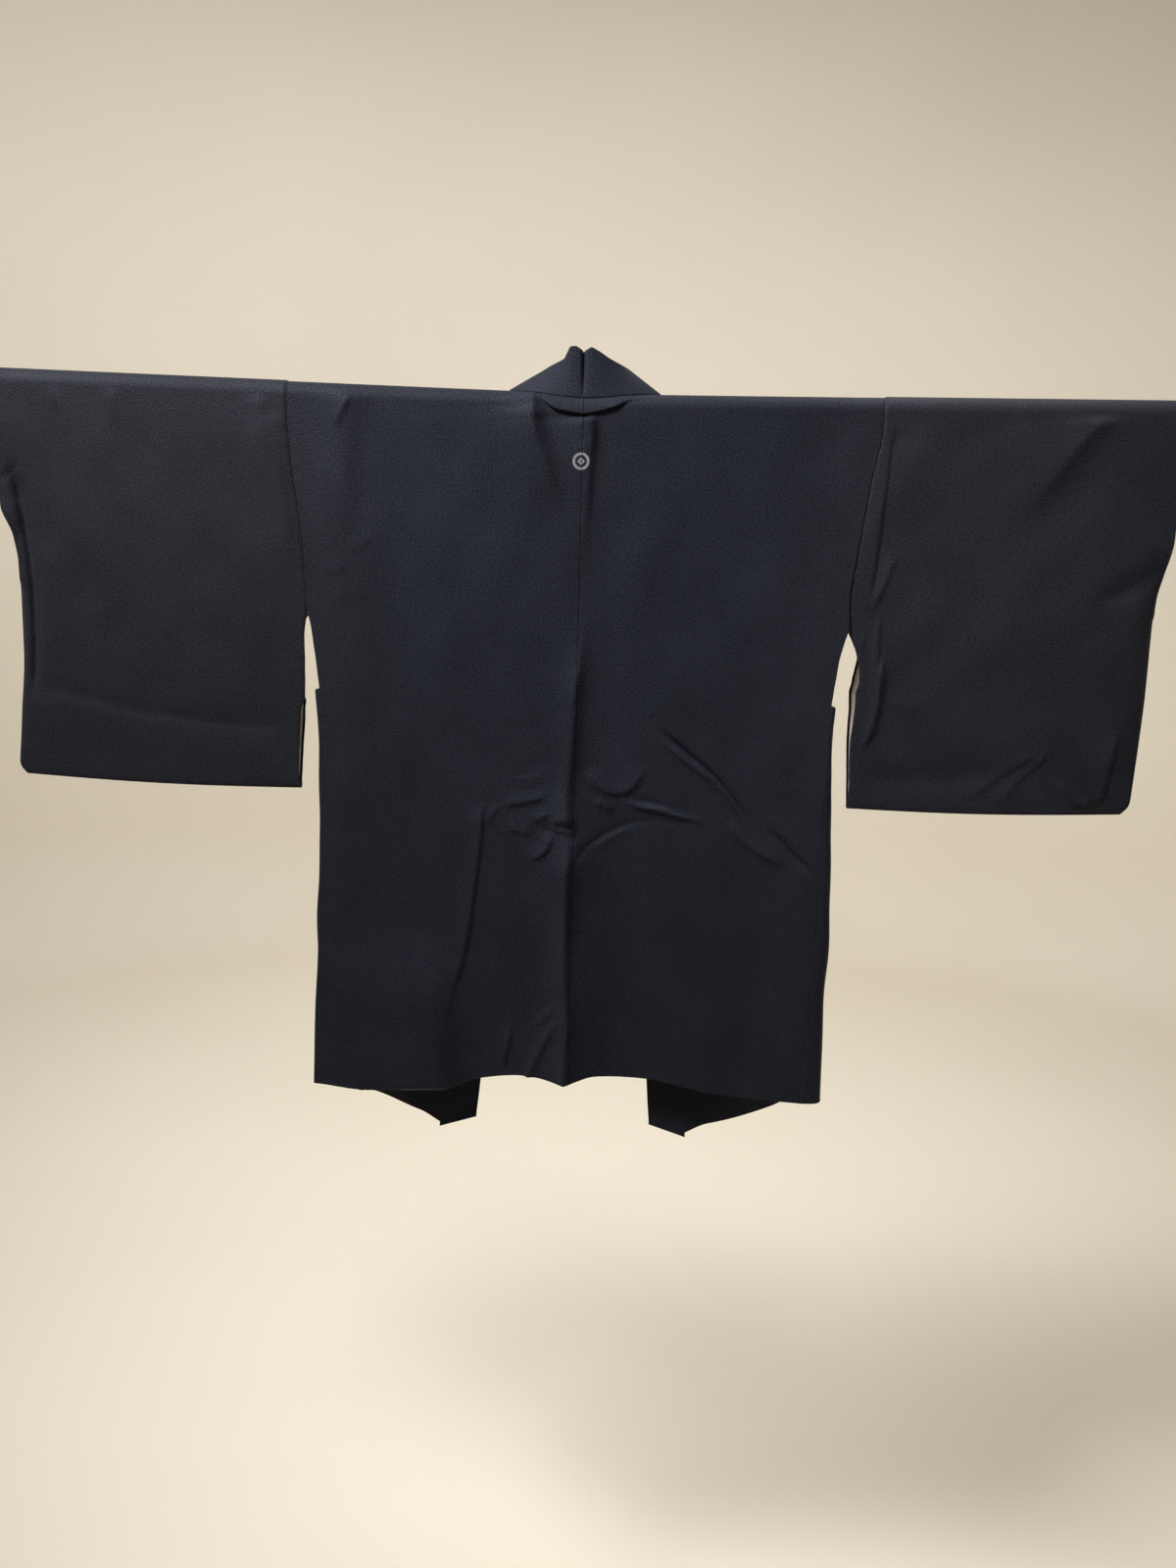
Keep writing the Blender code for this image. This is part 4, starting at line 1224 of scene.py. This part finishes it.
@dataclass
class Gusset:
    """The side gusset, which widens from the foot of the side slit to the hem."""

    side: Side
    wall: float = 0.0015
    step: float = 0.0035
    top_handle: float = 0.005
    front_handle: float = 0.022
    back_handles: tuple[float, float] = (0.010, 0.050)
    strip: float = 0.085
    seam_share: float = 0.2
    fold_share: float = 0.4
    cut_length: float = 0.50
    taper: float = 0.65

    def build(self, finishes: Finishes) -> Object:
        """Sews the gusset between back and front, and dresses it."""
        side, sign = self.side, self.side.value
        back_hem, front_hem = side_hem(side), FRONT_HEM[-1][1]
        swell = graded(GUSSET_TOP_Z - back_hem, self.step)
        back_z, front_z = lerp(GUSSET_TOP_Z, back_hem, swell), lerp(GUSSET_TOP_Z, front_hem, swell)
        plan = front_plan(side, front_z)
        leave = plan[2] - plan[3]
        leave /= np.linalg.norm(leave, axis=1, keepdims=True)
        start = np.stack((sign * BACK_SIDE.at(side, back_z), np.full_like(back_z, -BODY_RADIUS)), axis=1)
        end = plan[3]
        back_handle = self.back_handles[0 if side is Side.LEFT else 1]
        handle = sign * lerp(self.top_handle, back_handle, swell)
        out = start + np.stack((handle, np.zeros_like(handle)), axis=1)
        turn = end - leave * lerp(self.top_handle, self.front_handle, swell)[:, None]
        shares = graded(self.strip, self.step)
        flat = bezier([p[:, None] for p in (start, out, turn, end)], shares[None])
        z = lerp(back_z[:, None], front_z[:, None], shares)
        inside = smooth(shares / self.seam_share) * smooth((1 - shares) / self.seam_share)
        flat[..., 0] += sign * inside * SKIRT_DRAPE.lift(shares * 0.1 + z, z) * self.fold_share
        grid = hung(flat[..., 0], flat[..., 1], z)
        width = np.linalg.norm(np.diff(grid[-1], axis=0), axis=1).sum()
        cut = cut_grid(grid, shares * width)
        if side is Side.RIGHT:
            grid, cut = grid[:, ::-1], cut[:, ::-1]
        cloth = Cloth(self.wall)
        cloth.weave(cloth.place(grid[:, ::-1]), cut[:, ::-1])
        name = f"gusset_{side.label}_crepe"
        piece = dress(name, cloth.mesh(name), (finishes.crepe,), "silk_crepe", f"gusset_{side.label}")
        LOG.info("%s: %.3f m wide at the hem", name, width)
        return piece


@dataclass
class Sleeve:
    """One sleeve: a tube folded over the rod, open at the armhole, down the furi and at the cuff."""

    side: Side
    wall: float = 0.0012
    step: float = 0.0034
    edge_half: float = 0.0032
    edge_turn: float = 0.030
    round_in: float = 0.018
    cuff_ease: float = 0.080
    corner: float = 0.016
    belly: float = 0.0035
    seam_ease: float = 0.004
    fold_room: float = 1.5
    arc_rows: int = 18
    edge_rows: int = 6
    least_half: float = 0.0020
    reach: float = 0.33
    fine_share: float = 0.52
    armhole_ease: float = 0.020
    pressed: float = 0.35
    top_ease: float = 0.050
    front_top_ease: float = 0.080
    wave_shift: float = 0.3
    pucker_ease: float = 0.020
    rod_ease: float = 0.012
    lining_wall: float = 0.001
    lining_depth: float = 0.0017
    lining_share: float = 0.97
    flat_width: float = 0.345
    flat_round: float = 0.93

    def shape(self, share: Array, level: Array, facing: int, creases: Sequence[Crease]) -> Array:
        """Points of a hanging layer.

        Args:
            share: Share of the way from the armhole to the cuff, one for each column.
            level: Heights below the rod's axis, one for each row.
            facing: -1 for the back layer, 1 for the front one.
            creases: The back layer's creases.

        Returns:
            Points, rows by columns by 3.
        """
        side, sign = self.side, self.side.value
        level = level[:, None]
        near = np.where(level >= ARMPIT_Z, BACK_SIDE.at(side, level), FURI.at(side, level))
        if facing > 0:
            near = near + FURI_BEHIND.at(side, level)
        above = np.clip((level + SLEEVE_DROP) / self.corner, 0, 1)
        cut_in = self.corner * (1 - np.sqrt(1 - (1 - above) ** 2))
        reach = CUFF.at(side, level) - cut_in
        closed = 1 - smooth((level - CUFF_END_Z) / self.cuff_ease)
        reach = reach - self.edge_half * self.edge_round(level)
        x = lerp(near, reach, share)
        z = level * (1 + self.belly / SLEEVE_DROP * np.sin(math.pi * share))
        radius = lerp(BODY_RADIUS, SLEEVE_RADIUS, smooth((x - near) / self.seam_ease))
        full = self.edge_half + (radius - self.edge_half) * (1 - (level / SLEEVE_DROP) ** 2)
        from_edge = np.clip((reach - x) / self.edge_turn, 0, 1)
        parted = np.maximum(1 - closed, np.sqrt(1 - (1 - from_edge) ** 2))
        half = lerp(self.edge_half, full, parted)
        inside = smooth((x - near) / self.armhole_ease)
        x = sign * x
        height = z + rise(x)
        if facing < 0:
            room = (half - self.edge_half) / (SLEEVE_RADIUS - self.edge_half)
            apart = np.minimum(1, self.fold_room * room)
            lift = relief(creases, x, height) * inside * lerp(self.pressed, 1.0, apart)
            lift += SLEEVE_DRAPES[side].lift(x, height) * inside * apart * smooth(-level / self.top_ease)
        else:
            ends = smooth(-level / self.front_top_ease) * smooth((level + SLEEVE_DROP) / self.top_ease)
            lift = SLEEVE_DRAPES[side].lift(-x + self.wave_shift, height) * inside * ends
        lift += SEAM_PUCKER.lift(x, level + SLEEVE_DROP)
        lift += SEAM_PUCKER.lift(height, np.abs(x) - near) * smooth(-level / self.pucker_ease)
        half = np.maximum(half + lift * smooth(-level / self.rod_ease), self.least_half)
        return hung(x, facing * half, z)

    def columns(self, step: float) -> Array:
        """Shares of the way to the cuff at which the sleeve is sampled, closer together where it creases."""
        edge, length = EDGE_OFFSETS[-1], self.reach
        fine = step * self.fine_share
        marks = (
            (edge, fine), (0.030, fine), (0.040, step),
            (length - 0.040, step), (length - 0.026, fine), (length - edge, fine),
        )
        return np.concatenate((EDGE_OFFSETS[:-1], paced(marks), length - EDGE_OFFSETS[-2::-1])) / length

    def edge_round(self, level: Array) -> Array:
        """How round the sewn lower part of the cuff is at each level: 0 at its upper end."""
        return smooth((CUFF_END_Z - level) / self.round_in)

    def tube(self, share: Array, level: Array, creases: Sequence[Crease]) -> Array:
        """Points of the tube, in rows from the back layer's foot over the rod and round under the bottom.

        Args:
            share: Share of the way from the armhole to the cuff, one for each column.
            level: Heights of the hanging layers' rows, from the top down.
            creases: The back layer's creases.

        Returns:
            Points, rows by columns by 3.
        """
        back, front = self.shape(share, level[::-1], -1, creases), self.shape(share, level, 1, creases)
        turn = math.pi * np.arange(1, self.arc_rows) / self.arc_rows
        x = np.abs(back[-1, :, 0])
        near = float(BACK_SIDE.at(self.side, 0))
        radius = lerp(BODY_RADIUS, SLEEVE_RADIUS, smooth((x - near) / self.seam_ease))
        over_x = self.side.value * x[None]
        over = hung(over_x, -radius * np.cos(turn)[:, None], radius * np.sin(turn)[:, None])
        tuck = self.tuck()
        middle, half = (front[-1] + back[0]) / 2, (front[-1] - back[0]) / 2
        under = middle + half * np.cos(tuck)[:, None, None]
        under[..., 2] -= self.edge_half * np.sin(tuck)[:, None]
        return np.concatenate((back, over, front, under))

    def tuck(self) -> Array:
        """Angles at which a folded edge is sampled."""
        return math.pi * np.arange(1, self.edge_rows) / self.edge_rows

    def cuff(
        self, cloth: Cloth, tube: Array, numbers: Array, cut: Array, level: Array
    ) -> tuple[Array, Array]:
        """The sewn lower part of the cuff: a narrow strip from the back layer round to the front one.

        Args:
            cloth: The sleeve's cloth.
            tube: The tube's points.
            numbers: Their numbers.
            cut: Their places on the cut.
            level: Heights of the sewn rows, from the bottom up.

        Returns:
            The strip's numbers and places on the cut.
        """
        sewn, tuck = len(level), self.tuck()
        last = len(tube) - len(tuck) - 1
        ends = np.arange(sewn), last - np.arange(sewn)
        back_ends, front_ends = (numbers[rows, -1] for rows in ends)
        back_points, front_points = (tube[rows, -1] for rows in ends)
        middle, half = (back_points + front_points) / 2, (front_points - back_points) / 2
        strip = middle[:, None] - half[:, None] * np.cos(tuck)[None, :, None]
        swell = self.edge_half * self.edge_round(level[:, None])
        strip[..., 0] += self.side.value * swell * np.sin(tuck)
        inner = cloth.place(strip)
        rows = np.concatenate((back_ends[:, None], inner, front_ends[:, None]), axis=1)
        bottom = np.concatenate((back_ends[:1], numbers[-2 : -2 - len(tuck) : -1, -1], front_ends[:1]))
        rows = np.concatenate((bottom[None], rows))
        # Its place on the cut is clear of the tube's.
        along = np.concatenate(([0.0], cut[:sewn, -1, 1])) + 2.0
        across = np.linspace(0, 2 * self.edge_half, rows.shape[1]) + 0.5
        return rows, np.stack(np.meshgrid(across, along), axis=2)

    def surface(self, step: float, skip: int, creases: Sequence[Crease]) -> Cloth:
        """The sleeve's middle surface.

        Args:
            step: Spacing of its points.
            skip: How many columns to leave out at each open edge.
            creases: The back layer's creases.

        Returns:
            The woven cloth.
        """
        share = self.columns(step)
        lowest = SLEEVE_DROP - self.edge_half
        level = -graded(lowest, step, start=False, end=False) * lowest
        tube = self.tube(share, level, creases)
        ring = np.concatenate((tube, tube[:1]))
        cut = cut_grid(ring[:, 3:-3], share * self.flat_width)
        cloth = Cloth(self.wall)
        numbers = cloth.place(tube)
        numbers = np.concatenate((numbers, numbers[:1]))
        sewn = int((level <= CUFF_END_Z).sum())
        strip = self.cuff(cloth, tube, numbers, cut, level[::-1][:sewn])
        patches = [(numbers, cut), strip]
        if skip:
            head, tail = slice(sewn - skip), slice(skip - sewn - self.edge_rows, None)
            patches = [
                (numbers[:, skip:-skip], cut[:, skip:-skip]),
                *((numbers[rows, -skip - 1 :], cut[rows, -skip - 1 :]) for rows in (head, tail)),
                tuple(grid[: sewn - skip + 1] for grid in strip),
            ]
        turned = slice(None, None, -1 if self.side is Side.LEFT else 1)
        for numbers, cut in patches:
            cloth.weave(numbers[:, turned], cut[:, turned])
        return cloth

    def build(self, finishes: Finishes) -> list[Object]:
        """Sews the sleeve and its lining, and dresses both.

        Args:
            finishes: The materials.

        Returns:
            The sleeve, then the lining.
        """
        label = self.side.label
        creases = SLEEVE_CREASES[self.side]
        name = f"sleeve_{label}_crepe"
        mesh = self.surface(self.step, 0, creases).mesh(name)
        sleeve = dress(name, mesh, (finishes.sleeve,), "silk_crepe", f"sleeve_{label}")

        # The lining gives way to the furrows over twice their width, and doesn't follow the rest.
        furrows = [
            replace(crease, reach=tuple(2 * reach for reach in crease.reach))
            for crease in creases if crease.height < 0
        ]
        points, faces, cuts = self.surface(2 * self.step, SETBACK_COLUMNS, furrows).gather()
        points = points - normals_of(points, faces) * self.lining_depth
        inner = Cloth(self.lining_wall, points=[points], faces=[faces], cuts=[cuts])
        name = f"sleeve_{label}_lining"
        piece = dress(name, inner.mesh(name), (finishes.lining,), "silk_lining", f"sleeve_lining_{label}")
        return [sleeve, piece]


@dataclass
class Collar:
    """The collar band: folded double, it stands round the back neck and lies down both fronts."""

    wall: float = 0.003
    step: float = 0.0030
    front_step: float = 0.0060
    tail: float = 0.006
    lap: float = 0.0012
    tail_rise: float = 0.014
    lap_run: float = 0.1
    end_run: float = 0.05
    arc_rows: int = 9
    bend: float = 0.022
    fine_step: float = 0.0009
    plain_step: float = 0.0024
    softness: float = 0.45
    strip: float = 0.048
    width: float = 0.05
    length: float = 2.25
    trimmed: float = 0.95

    def front(self, side: Side) -> tuple[Array, Array]:
        """Seam and fold points from the top of the shoulder down one front."""
        sign = side.value
        turn = np.linspace(0, math.pi / 2, self.arc_rows + 1)[1:]
        arc_x = lerp(NECK_HALF, float(COLLAR_SEAM.at(side, 0)), turn / (math.pi / 2))
        z = -graded(-FRONT_HEM[0][1], self.front_step, start=False)[1:] * -FRONT_HEM[0][1]
        x = np.concatenate((arc_x, COLLAR_SEAM.at(side, z) + self.lap * smooth(-z / self.lap_run)))
        y = np.concatenate((COLLAR_RADIUS * np.sin(turn), np.full(len(z), COLLAR_RADIUS)))
        z = np.concatenate((COLLAR_RADIUS * np.cos(turn), z))
        run_z, inset, depth, above = zip(*FOLD_RUN)
        fold_x = x - through(run_z, inset, z)
        fold_y = through(run_z, depth, z)
        fold_z = z + through(run_z, above, z)
        end = smooth(1 - (z - FRONT_HEM[0][1]) / self.end_run)
        seam = hung(sign * x, y, z - self.tail * end)
        fold = hung(sign * fold_x, fold_y, fold_z + (self.tail_rise - self.tail) * end)
        return seam, fold

    def neck(self) -> tuple[Array, Array]:
        """Seam and fold points round the back of the neck, from left to right."""
        rows = np.array(NECK_LINES)
        wide, fine = self.plain_step, self.fine_step
        x = paced(((-NECK_HALF, wide), (-self.bend, fine), (self.bend, fine), (NECK_HALF, wide)))
        angle = neck_angle(x)
        seam = hung(x, -COLLAR_RADIUS * np.sin(angle), COLLAR_RADIUS * np.cos(angle))
        fold = np.stack([np.interp(x, rows[:, 0], rows[:, axis]) for axis in (1, 2, 3)], axis=1)
        soft = np.array([through(rows[:, 0], rows[:, axis], x) for axis in (1, 2, 3)]).T
        return seam, lerp(fold, soft, self.softness)

    def build(self, finishes: Finishes) -> Object:
        """Folds the band, sews it on and dresses it."""
        left_seam, left_fold = self.front(Side.LEFT)
        right_seam, right_fold = self.front(Side.RIGHT)
        neck_seam, neck_fold = self.neck()
        seam = np.concatenate((left_seam[::-1], neck_seam, right_seam))
        fold = np.concatenate((left_fold[::-1], neck_fold, right_fold))
        shares = graded(self.strip, self.step)
        grid = lerp(seam[:, None], fold[:, None], shares[None, :, None])
        cloth = Cloth(self.wall, roll=0.0015, edge_share=0.25)
        cloth.weave(cloth.place(grid), cut_grid(seam[:, None], shares * self.width))
        piece = dress("collar_crepe", cloth.mesh("collar_crepe"), (finishes.crepe,), "silk_crepe", "collar")
        return piece


@dataclass
class SeamThread:
    """Running stitches of silk thread, sunk in the grooves of the sewn seams."""

    pitch: float = 0.0055
    length: float = 0.0030
    thickness: float = 0.0004
    depth: float = 0.0005
    collar_depth: float = 0.0011
    stray: float = 0.06
    seed: int = 3

    def tree(self, finish: Material) -> NodeTree:
        """The node tree that lays one stitch after another along lines of edges."""
        sizes = dict.fromkeys(("Pitch", "Length", "Thickness", "Stray"), "Float")
        tree, given = new_group("running_stitches", {"Lines": "Geometry", **sizes, "Seed": "Int"})
        line = add_node(tree, "GeometryNodeMeshToCurve", {"Mesh": given["Lines"]})
        spots = add_node(
            tree, "GeometryNodeResampleCurve", {"Curve": line, "Length": given["Pitch"]}, mode="LENGTH"
        )
        stitch = add_node(tree, "GeometryNodeMeshIcoSphere", {"Radius": 0.5, "Subdivisions": 1})
        sizes = dict(enumerate(given[name] for name in ("Length", "Thickness", "Thickness")))
        tangent = add_node(tree, "GeometryNodeInputTangent")
        ahead = add_node(tree, "FunctionNodeAlignRotationToVector", {"Vector": tangent}, axis="X")
        turn = add_node(tree, "FunctionNodeRandomValue", {"Seed": given["Seed"]}, data_type="FLOAT_VECTOR")
        stray = add_node(tree, "ShaderNodeVectorMath", {0: turn, "Scale": given["Stray"]}, operation="SCALE")
        laid = add_node(tree, "GeometryNodeInstanceOnPoints", {
            "Points": spots,
            "Instance": stitch,
            "Rotation": add_node(tree, "FunctionNodeRotateRotation", {0: ahead, 1: stray}),
            "Scale": add_node(tree, "ShaderNodeCombineXYZ", sizes),
        })
        hand_out(tree, laid, finish)
        return tree

    def sunk(self, line: Array, depth: float) -> Array:
        """A seam's line moved out from the middle of the cloth to where the thread lies."""
        above = np.maximum(line[:, 2] - rise(line[:, 0]), 0)
        out = np.stack((np.zeros_like(above), line[:, 1], above), axis=1)
        return line + out / np.linalg.norm(out, axis=1, keepdims=True) * depth

    def seams(self) -> list[Array]:
        """The lines of every sewn seam that shows: centre back, armholes, gussets and collar."""
        lines = []
        for side in Side:
            back, front = BodyPanel(side).back(), BodyPanel(side).front()
            edge = np.concatenate((back[:, -1], front[:, -1]))
            sewn = np.flatnonzero(edge[:, 2] - rise(edge[:, 0]) > ARMPIT_Z)
            lines.append(self.sunk(edge[sewn[0] : sewn[-1] + 1], self.depth))
            for seam in (back[:, -1], front[:, -1]):
                lines.append(self.sunk(seam[seam[:, 2] < GUSSET_TOP_Z], self.depth))
            lines.append(self.sunk(Collar().front(side)[0], self.collar_depth))
        middle = back[:, 0]
        lines.append(self.sunk(middle[middle[:, 2] < BodyPanel.fine_low], self.depth))
        return lines

    def build(self, finishes: Finishes) -> Object:
        """Sews the seams and dresses the thread."""
        sizes = {
            "Pitch": self.pitch, "Length": self.length, "Thickness": self.thickness,
            "Stray": self.stray, "Seed": self.seed,
        }
        mesh = grown_mesh("seam_thread", self.seams(), self.tree(finishes.thread), sizes)
        return dress("seam_thread", mesh, (finishes.thread,), "silk_crepe")


@dataclass
class Rod:
    """The round rod through both sleeves: a steel tube swept along its slightly sagging axis."""

    sides: int = 64
    stations: int = 147

    def tree(self, finish: Material) -> NodeTree:
        """The node tree that sweeps the tube along a line of edges."""
        tree, given = new_group("rod_sweep", {"Lines": "Geometry", "Radius": "Float", "Sides": "Int"})
        line = add_node(tree, "GeometryNodeMeshToCurve", {"Mesh": given["Lines"]})
        ring = {"Resolution": given["Sides"], "Radius": given["Radius"]}
        outline = add_node(tree, "GeometryNodeCurvePrimitiveCircle", ring)
        parts = {"Curve": line, "Profile Curve": outline, "Fill Caps": True}
        hand_out(tree, add_node(tree, "GeometryNodeCurveToMesh", parts), finish)
        return tree

    def build(self, finishes: Finishes) -> Object:
        """Sweeps the tube and dresses it."""
        x = np.linspace(-ROD_LENGTH / 2, ROD_LENGTH / 2, self.stations)
        points = np.stack((x, np.zeros_like(x), rise(x)), axis=1)
        sizes = {"Radius": ROD_RADIUS, "Sides": self.sides}
        mesh = grown_mesh("rod_tube", [points], self.tree(finishes.paint), sizes)
        return dress("rod_tube", mesh, (finishes.paint,), "painted_steel", "rod")


def new_group(
    name: str, inputs: Mapping[str, str]
) -> tuple[NodeTree, Mapping[str, NodeSocket]]:
    """A geometry node tree with its sockets.

    Args:
        name: Its name.
        inputs: Each input's name, with its kind.

    Returns:
        The tree, and its inputs as sockets to link from.
    """
    tree = bpy.data.node_groups.new(name, "GeometryNodeTree")
    for label, kind in inputs.items():
        tree.interface.new_socket(label, in_out="INPUT", socket_type=f"NodeSocket{kind}")
    tree.interface.new_socket("Made", in_out="OUTPUT", socket_type="NodeSocketGeometry")
    return tree, add_node(tree, "NodeGroupInput").outputs


def hand_out(tree: NodeTree, made: Node, finish: Material) -> None:
    """Gives what a tree made its smooth shading and its finish, and links it to the output."""
    real = add_node(tree, "GeometryNodeRealizeInstances", {0: made})
    shaded = add_node(tree, "GeometryNodeSetShadeSmooth", {0: real})
    finished = add_node(tree, "GeometryNodeSetMaterial", {"Geometry": shaded, "Material": finish})
    add_node(tree, "NodeGroupOutput", {"Made": finished})


def grown_mesh(
    name: str, lines: Sequence[Array], tree: NodeTree, inputs: Mapping[str, float]
) -> Mesh:
    """Runs a node tree on lines of edges and returns what it makes as a plain mesh.

    Args:
        name: The mesh's name.
        lines: Each line's points in order.
        tree: The node tree.
        inputs: Its inputs by name.

    Returns:
        The mesh.
    """
    points, edges = [], []
    for line in lines:
        edges += [(len(points) + at, len(points) + at + 1) for at in range(len(line) - 1)]
        points += [tuple(point) for point in line]
    guide = bpy.data.meshes.new(name + "_guide")
    guide.from_pydata(points, edges, [])
    holder = add_object(name + "_guide", guide)
    modifier = holder.modifiers.new("grow", "NODES")
    modifier.node_group = tree
    sockets = {item.name: item.identifier for item in tree.interface.items_tree if item.in_out == "INPUT"}
    for key, value in inputs.items():
        modifier[sockets[key]] = value
    holder.update_tag()
    graph = bpy.context.evaluated_depsgraph_get()
    mesh = bpy.data.meshes.new_from_object(holder.evaluated_get(graph), depsgraph=graph)
    mesh.name = name
    bpy.data.objects.remove(holder, do_unlink=True)
    bpy.data.meshes.remove(guide)
    return mesh


# ---------------------------------------------------------------- the studio


@dataclass(frozen=True)
class Lamp:
    """A soft light.

    Attributes:
        name: Its name.
        place: Where it hangs.
        aim: The point that it faces.
        size: Its width and height.
        watts: Its power.
        colour: Its sRGB colour.
        spread: The angle that its light fans out over, in degrees.
    """

    name: str
    place: Place
    aim: Place
    size: tuple[float, float]
    watts: float
    colour: str = "fffdf8"
    spread: float = 180.0

    def hang(self) -> None:
        """Hangs the light."""
        data = bpy.data.lights.new(self.name, "AREA")
        data.shape = "RECTANGLE"
        data.size, data.size_y = self.size
        data.energy = self.watts
        data.spread = math.radians(self.spread)
        data.color = linear(self.colour)[:3]
        lamp = add_object(self.name, data)
        lamp.location = self.place
        lamp.rotation_euler = (Vector(self.aim) - Vector(self.place)).to_track_quat("-Z", "Y").to_euler()


LAMPS = (
    Lamp("key_light", (-1.10, -1.00, 1.50), (-0.22, 0.0, 0.12), (0.8, 0.5), 28.6, spread=100.0),
    Lamp("side_light", (0.75, -0.90, 0.90), (0.42, 0.0, -0.28), (0.3, 0.3), 0.32, spread=28.0),
    Lamp("top_light", (0.62, 0.14, 1.30), (0.46, 0.08, 0.0), (0.5, 0.2), 1.6, spread=60.0),
    Lamp("wall_light", (-0.4, 1.1, 1.5), (-0.5, 4.1, -1.0), (2.4, 1.6), 76.0, "fffdf9"),
)


@dataclass
class Studio:
    """A plain round backdrop with a pale floor, soft lights, and the camera."""

    floor_z: float = -1.75
    floor_rings: tuple[float, ...] = (0.0, 1.2, 2.4)
    floor_radius: float = 3.6
    bend: float = 0.5
    bend_rings: int = 13
    wall_top: float = 4.2
    sides: int = 96
    air_colour: str = "f3ebdd"
    air_strength: float = 0.05
    lens: float = 27.34
    sensor: float = 36.0
    camera_place: Place = (0.05593, -1.378, -0.19720)
    pitch: float = 9.331
    roll: float = 1.4474
    yaw: float = 1.7252

    def backdrop(self, finish: Material) -> None:
        """Builds a floor that curves up into a round wall."""
        turn = np.linspace(0, math.pi / 2, self.bend_rings)
        bent, wall = self.floor_radius + self.bend * np.sin(turn), self.floor_radius + self.bend
        radii = np.concatenate((self.floor_rings[1:], bent, [wall]))[:, None]
        heights = np.concatenate((
            np.full(len(self.floor_rings) - 1, self.floor_z),
            self.floor_z + self.bend * (1 - np.cos(turn)),
            [self.wall_top],
        ))
        angle = np.arange(self.sides) * math.tau / self.sides
        rings = np.stack(np.broadcast_arrays(
            radii * np.cos(angle), radii * np.sin(angle), heights[:, None]
        ), axis=2)
        near = np.arange(self.sides)
        after = np.roll(near, -1)
        low = 1 + np.arange(len(radii) - 1)[:, None] * self.sides
        high = low + self.sides
        quads = np.stack((low + near, high + near, high + after, low + after), axis=2)
        fan = np.stack((0 * near, 1 + near, 1 + after), axis=1)
        mesh = bpy.data.meshes.new("studio_backdrop")
        points = [(0.0, 0.0, self.floor_z), *rings.reshape(-1, 3).tolist()]
        mesh.from_pydata(points, [], fan.tolist() + quads.reshape(-1, 4).tolist())
        mesh.shade_smooth()
        mesh.materials.append(finish)
        add_object("studio_backdrop", mesh)

    def air(self) -> None:
        """Fills the studio with a faint even light."""
        world = bpy.data.worlds.new("studio_air")
        world.use_nodes = True
        glow = world.node_tree.nodes["Background"]
        glow.inputs["Color"].default_value = linear(self.air_colour)
        glow.inputs["Strength"].default_value = self.air_strength
        bpy.context.scene.world = world

    def camera(self) -> None:
        """Sets up the camera."""
        pitch, roll, yaw = map(math.radians, (self.pitch, self.roll, self.yaw))
        turned = Matrix.Rotation(yaw, 3, "Z") @ Matrix.Rotation(-pitch, 3, "X")
        right, ahead, up = turned.col
        across = math.cos(roll) * right + math.sin(roll) * up
        above = -math.sin(roll) * right + math.cos(roll) * up
        pose = Matrix((across, above, -ahead)).transposed().to_4x4()
        pose.translation = self.camera_place
        data = bpy.data.cameras.new("camera")
        data.lens = self.lens
        data.sensor_width = self.sensor
        camera = add_object("camera", data)
        camera.matrix_world = pose
        bpy.context.scene.camera = camera

    def build(self, finishes: Finishes) -> None:
        """Sets the stage."""
        self.backdrop(finishes.wall)
        for lamp in LAMPS:
            lamp.hang()
        self.air()
        bpy.context.scene.view_settings.view_transform = "Standard"
        self.camera()


def main() -> None:
    """Builds the finishes, the pieces and the stage in order."""
    logging.basicConfig(level=logging.INFO, format="%(name)s %(message)s")
    finishes = Finishes.make()
    Studio().build(finishes)
    Rod().build(finishes)
    for side in Side:
        BodyPanel(side).build(finishes)
        Gusset(side).build(finishes)
        Sleeve(side).build(finishes)
    Collar().build(finishes)
    SeamThread().build(finishes)
    bpy.context.view_layer.update()


if __name__ == "__main__":
    main()
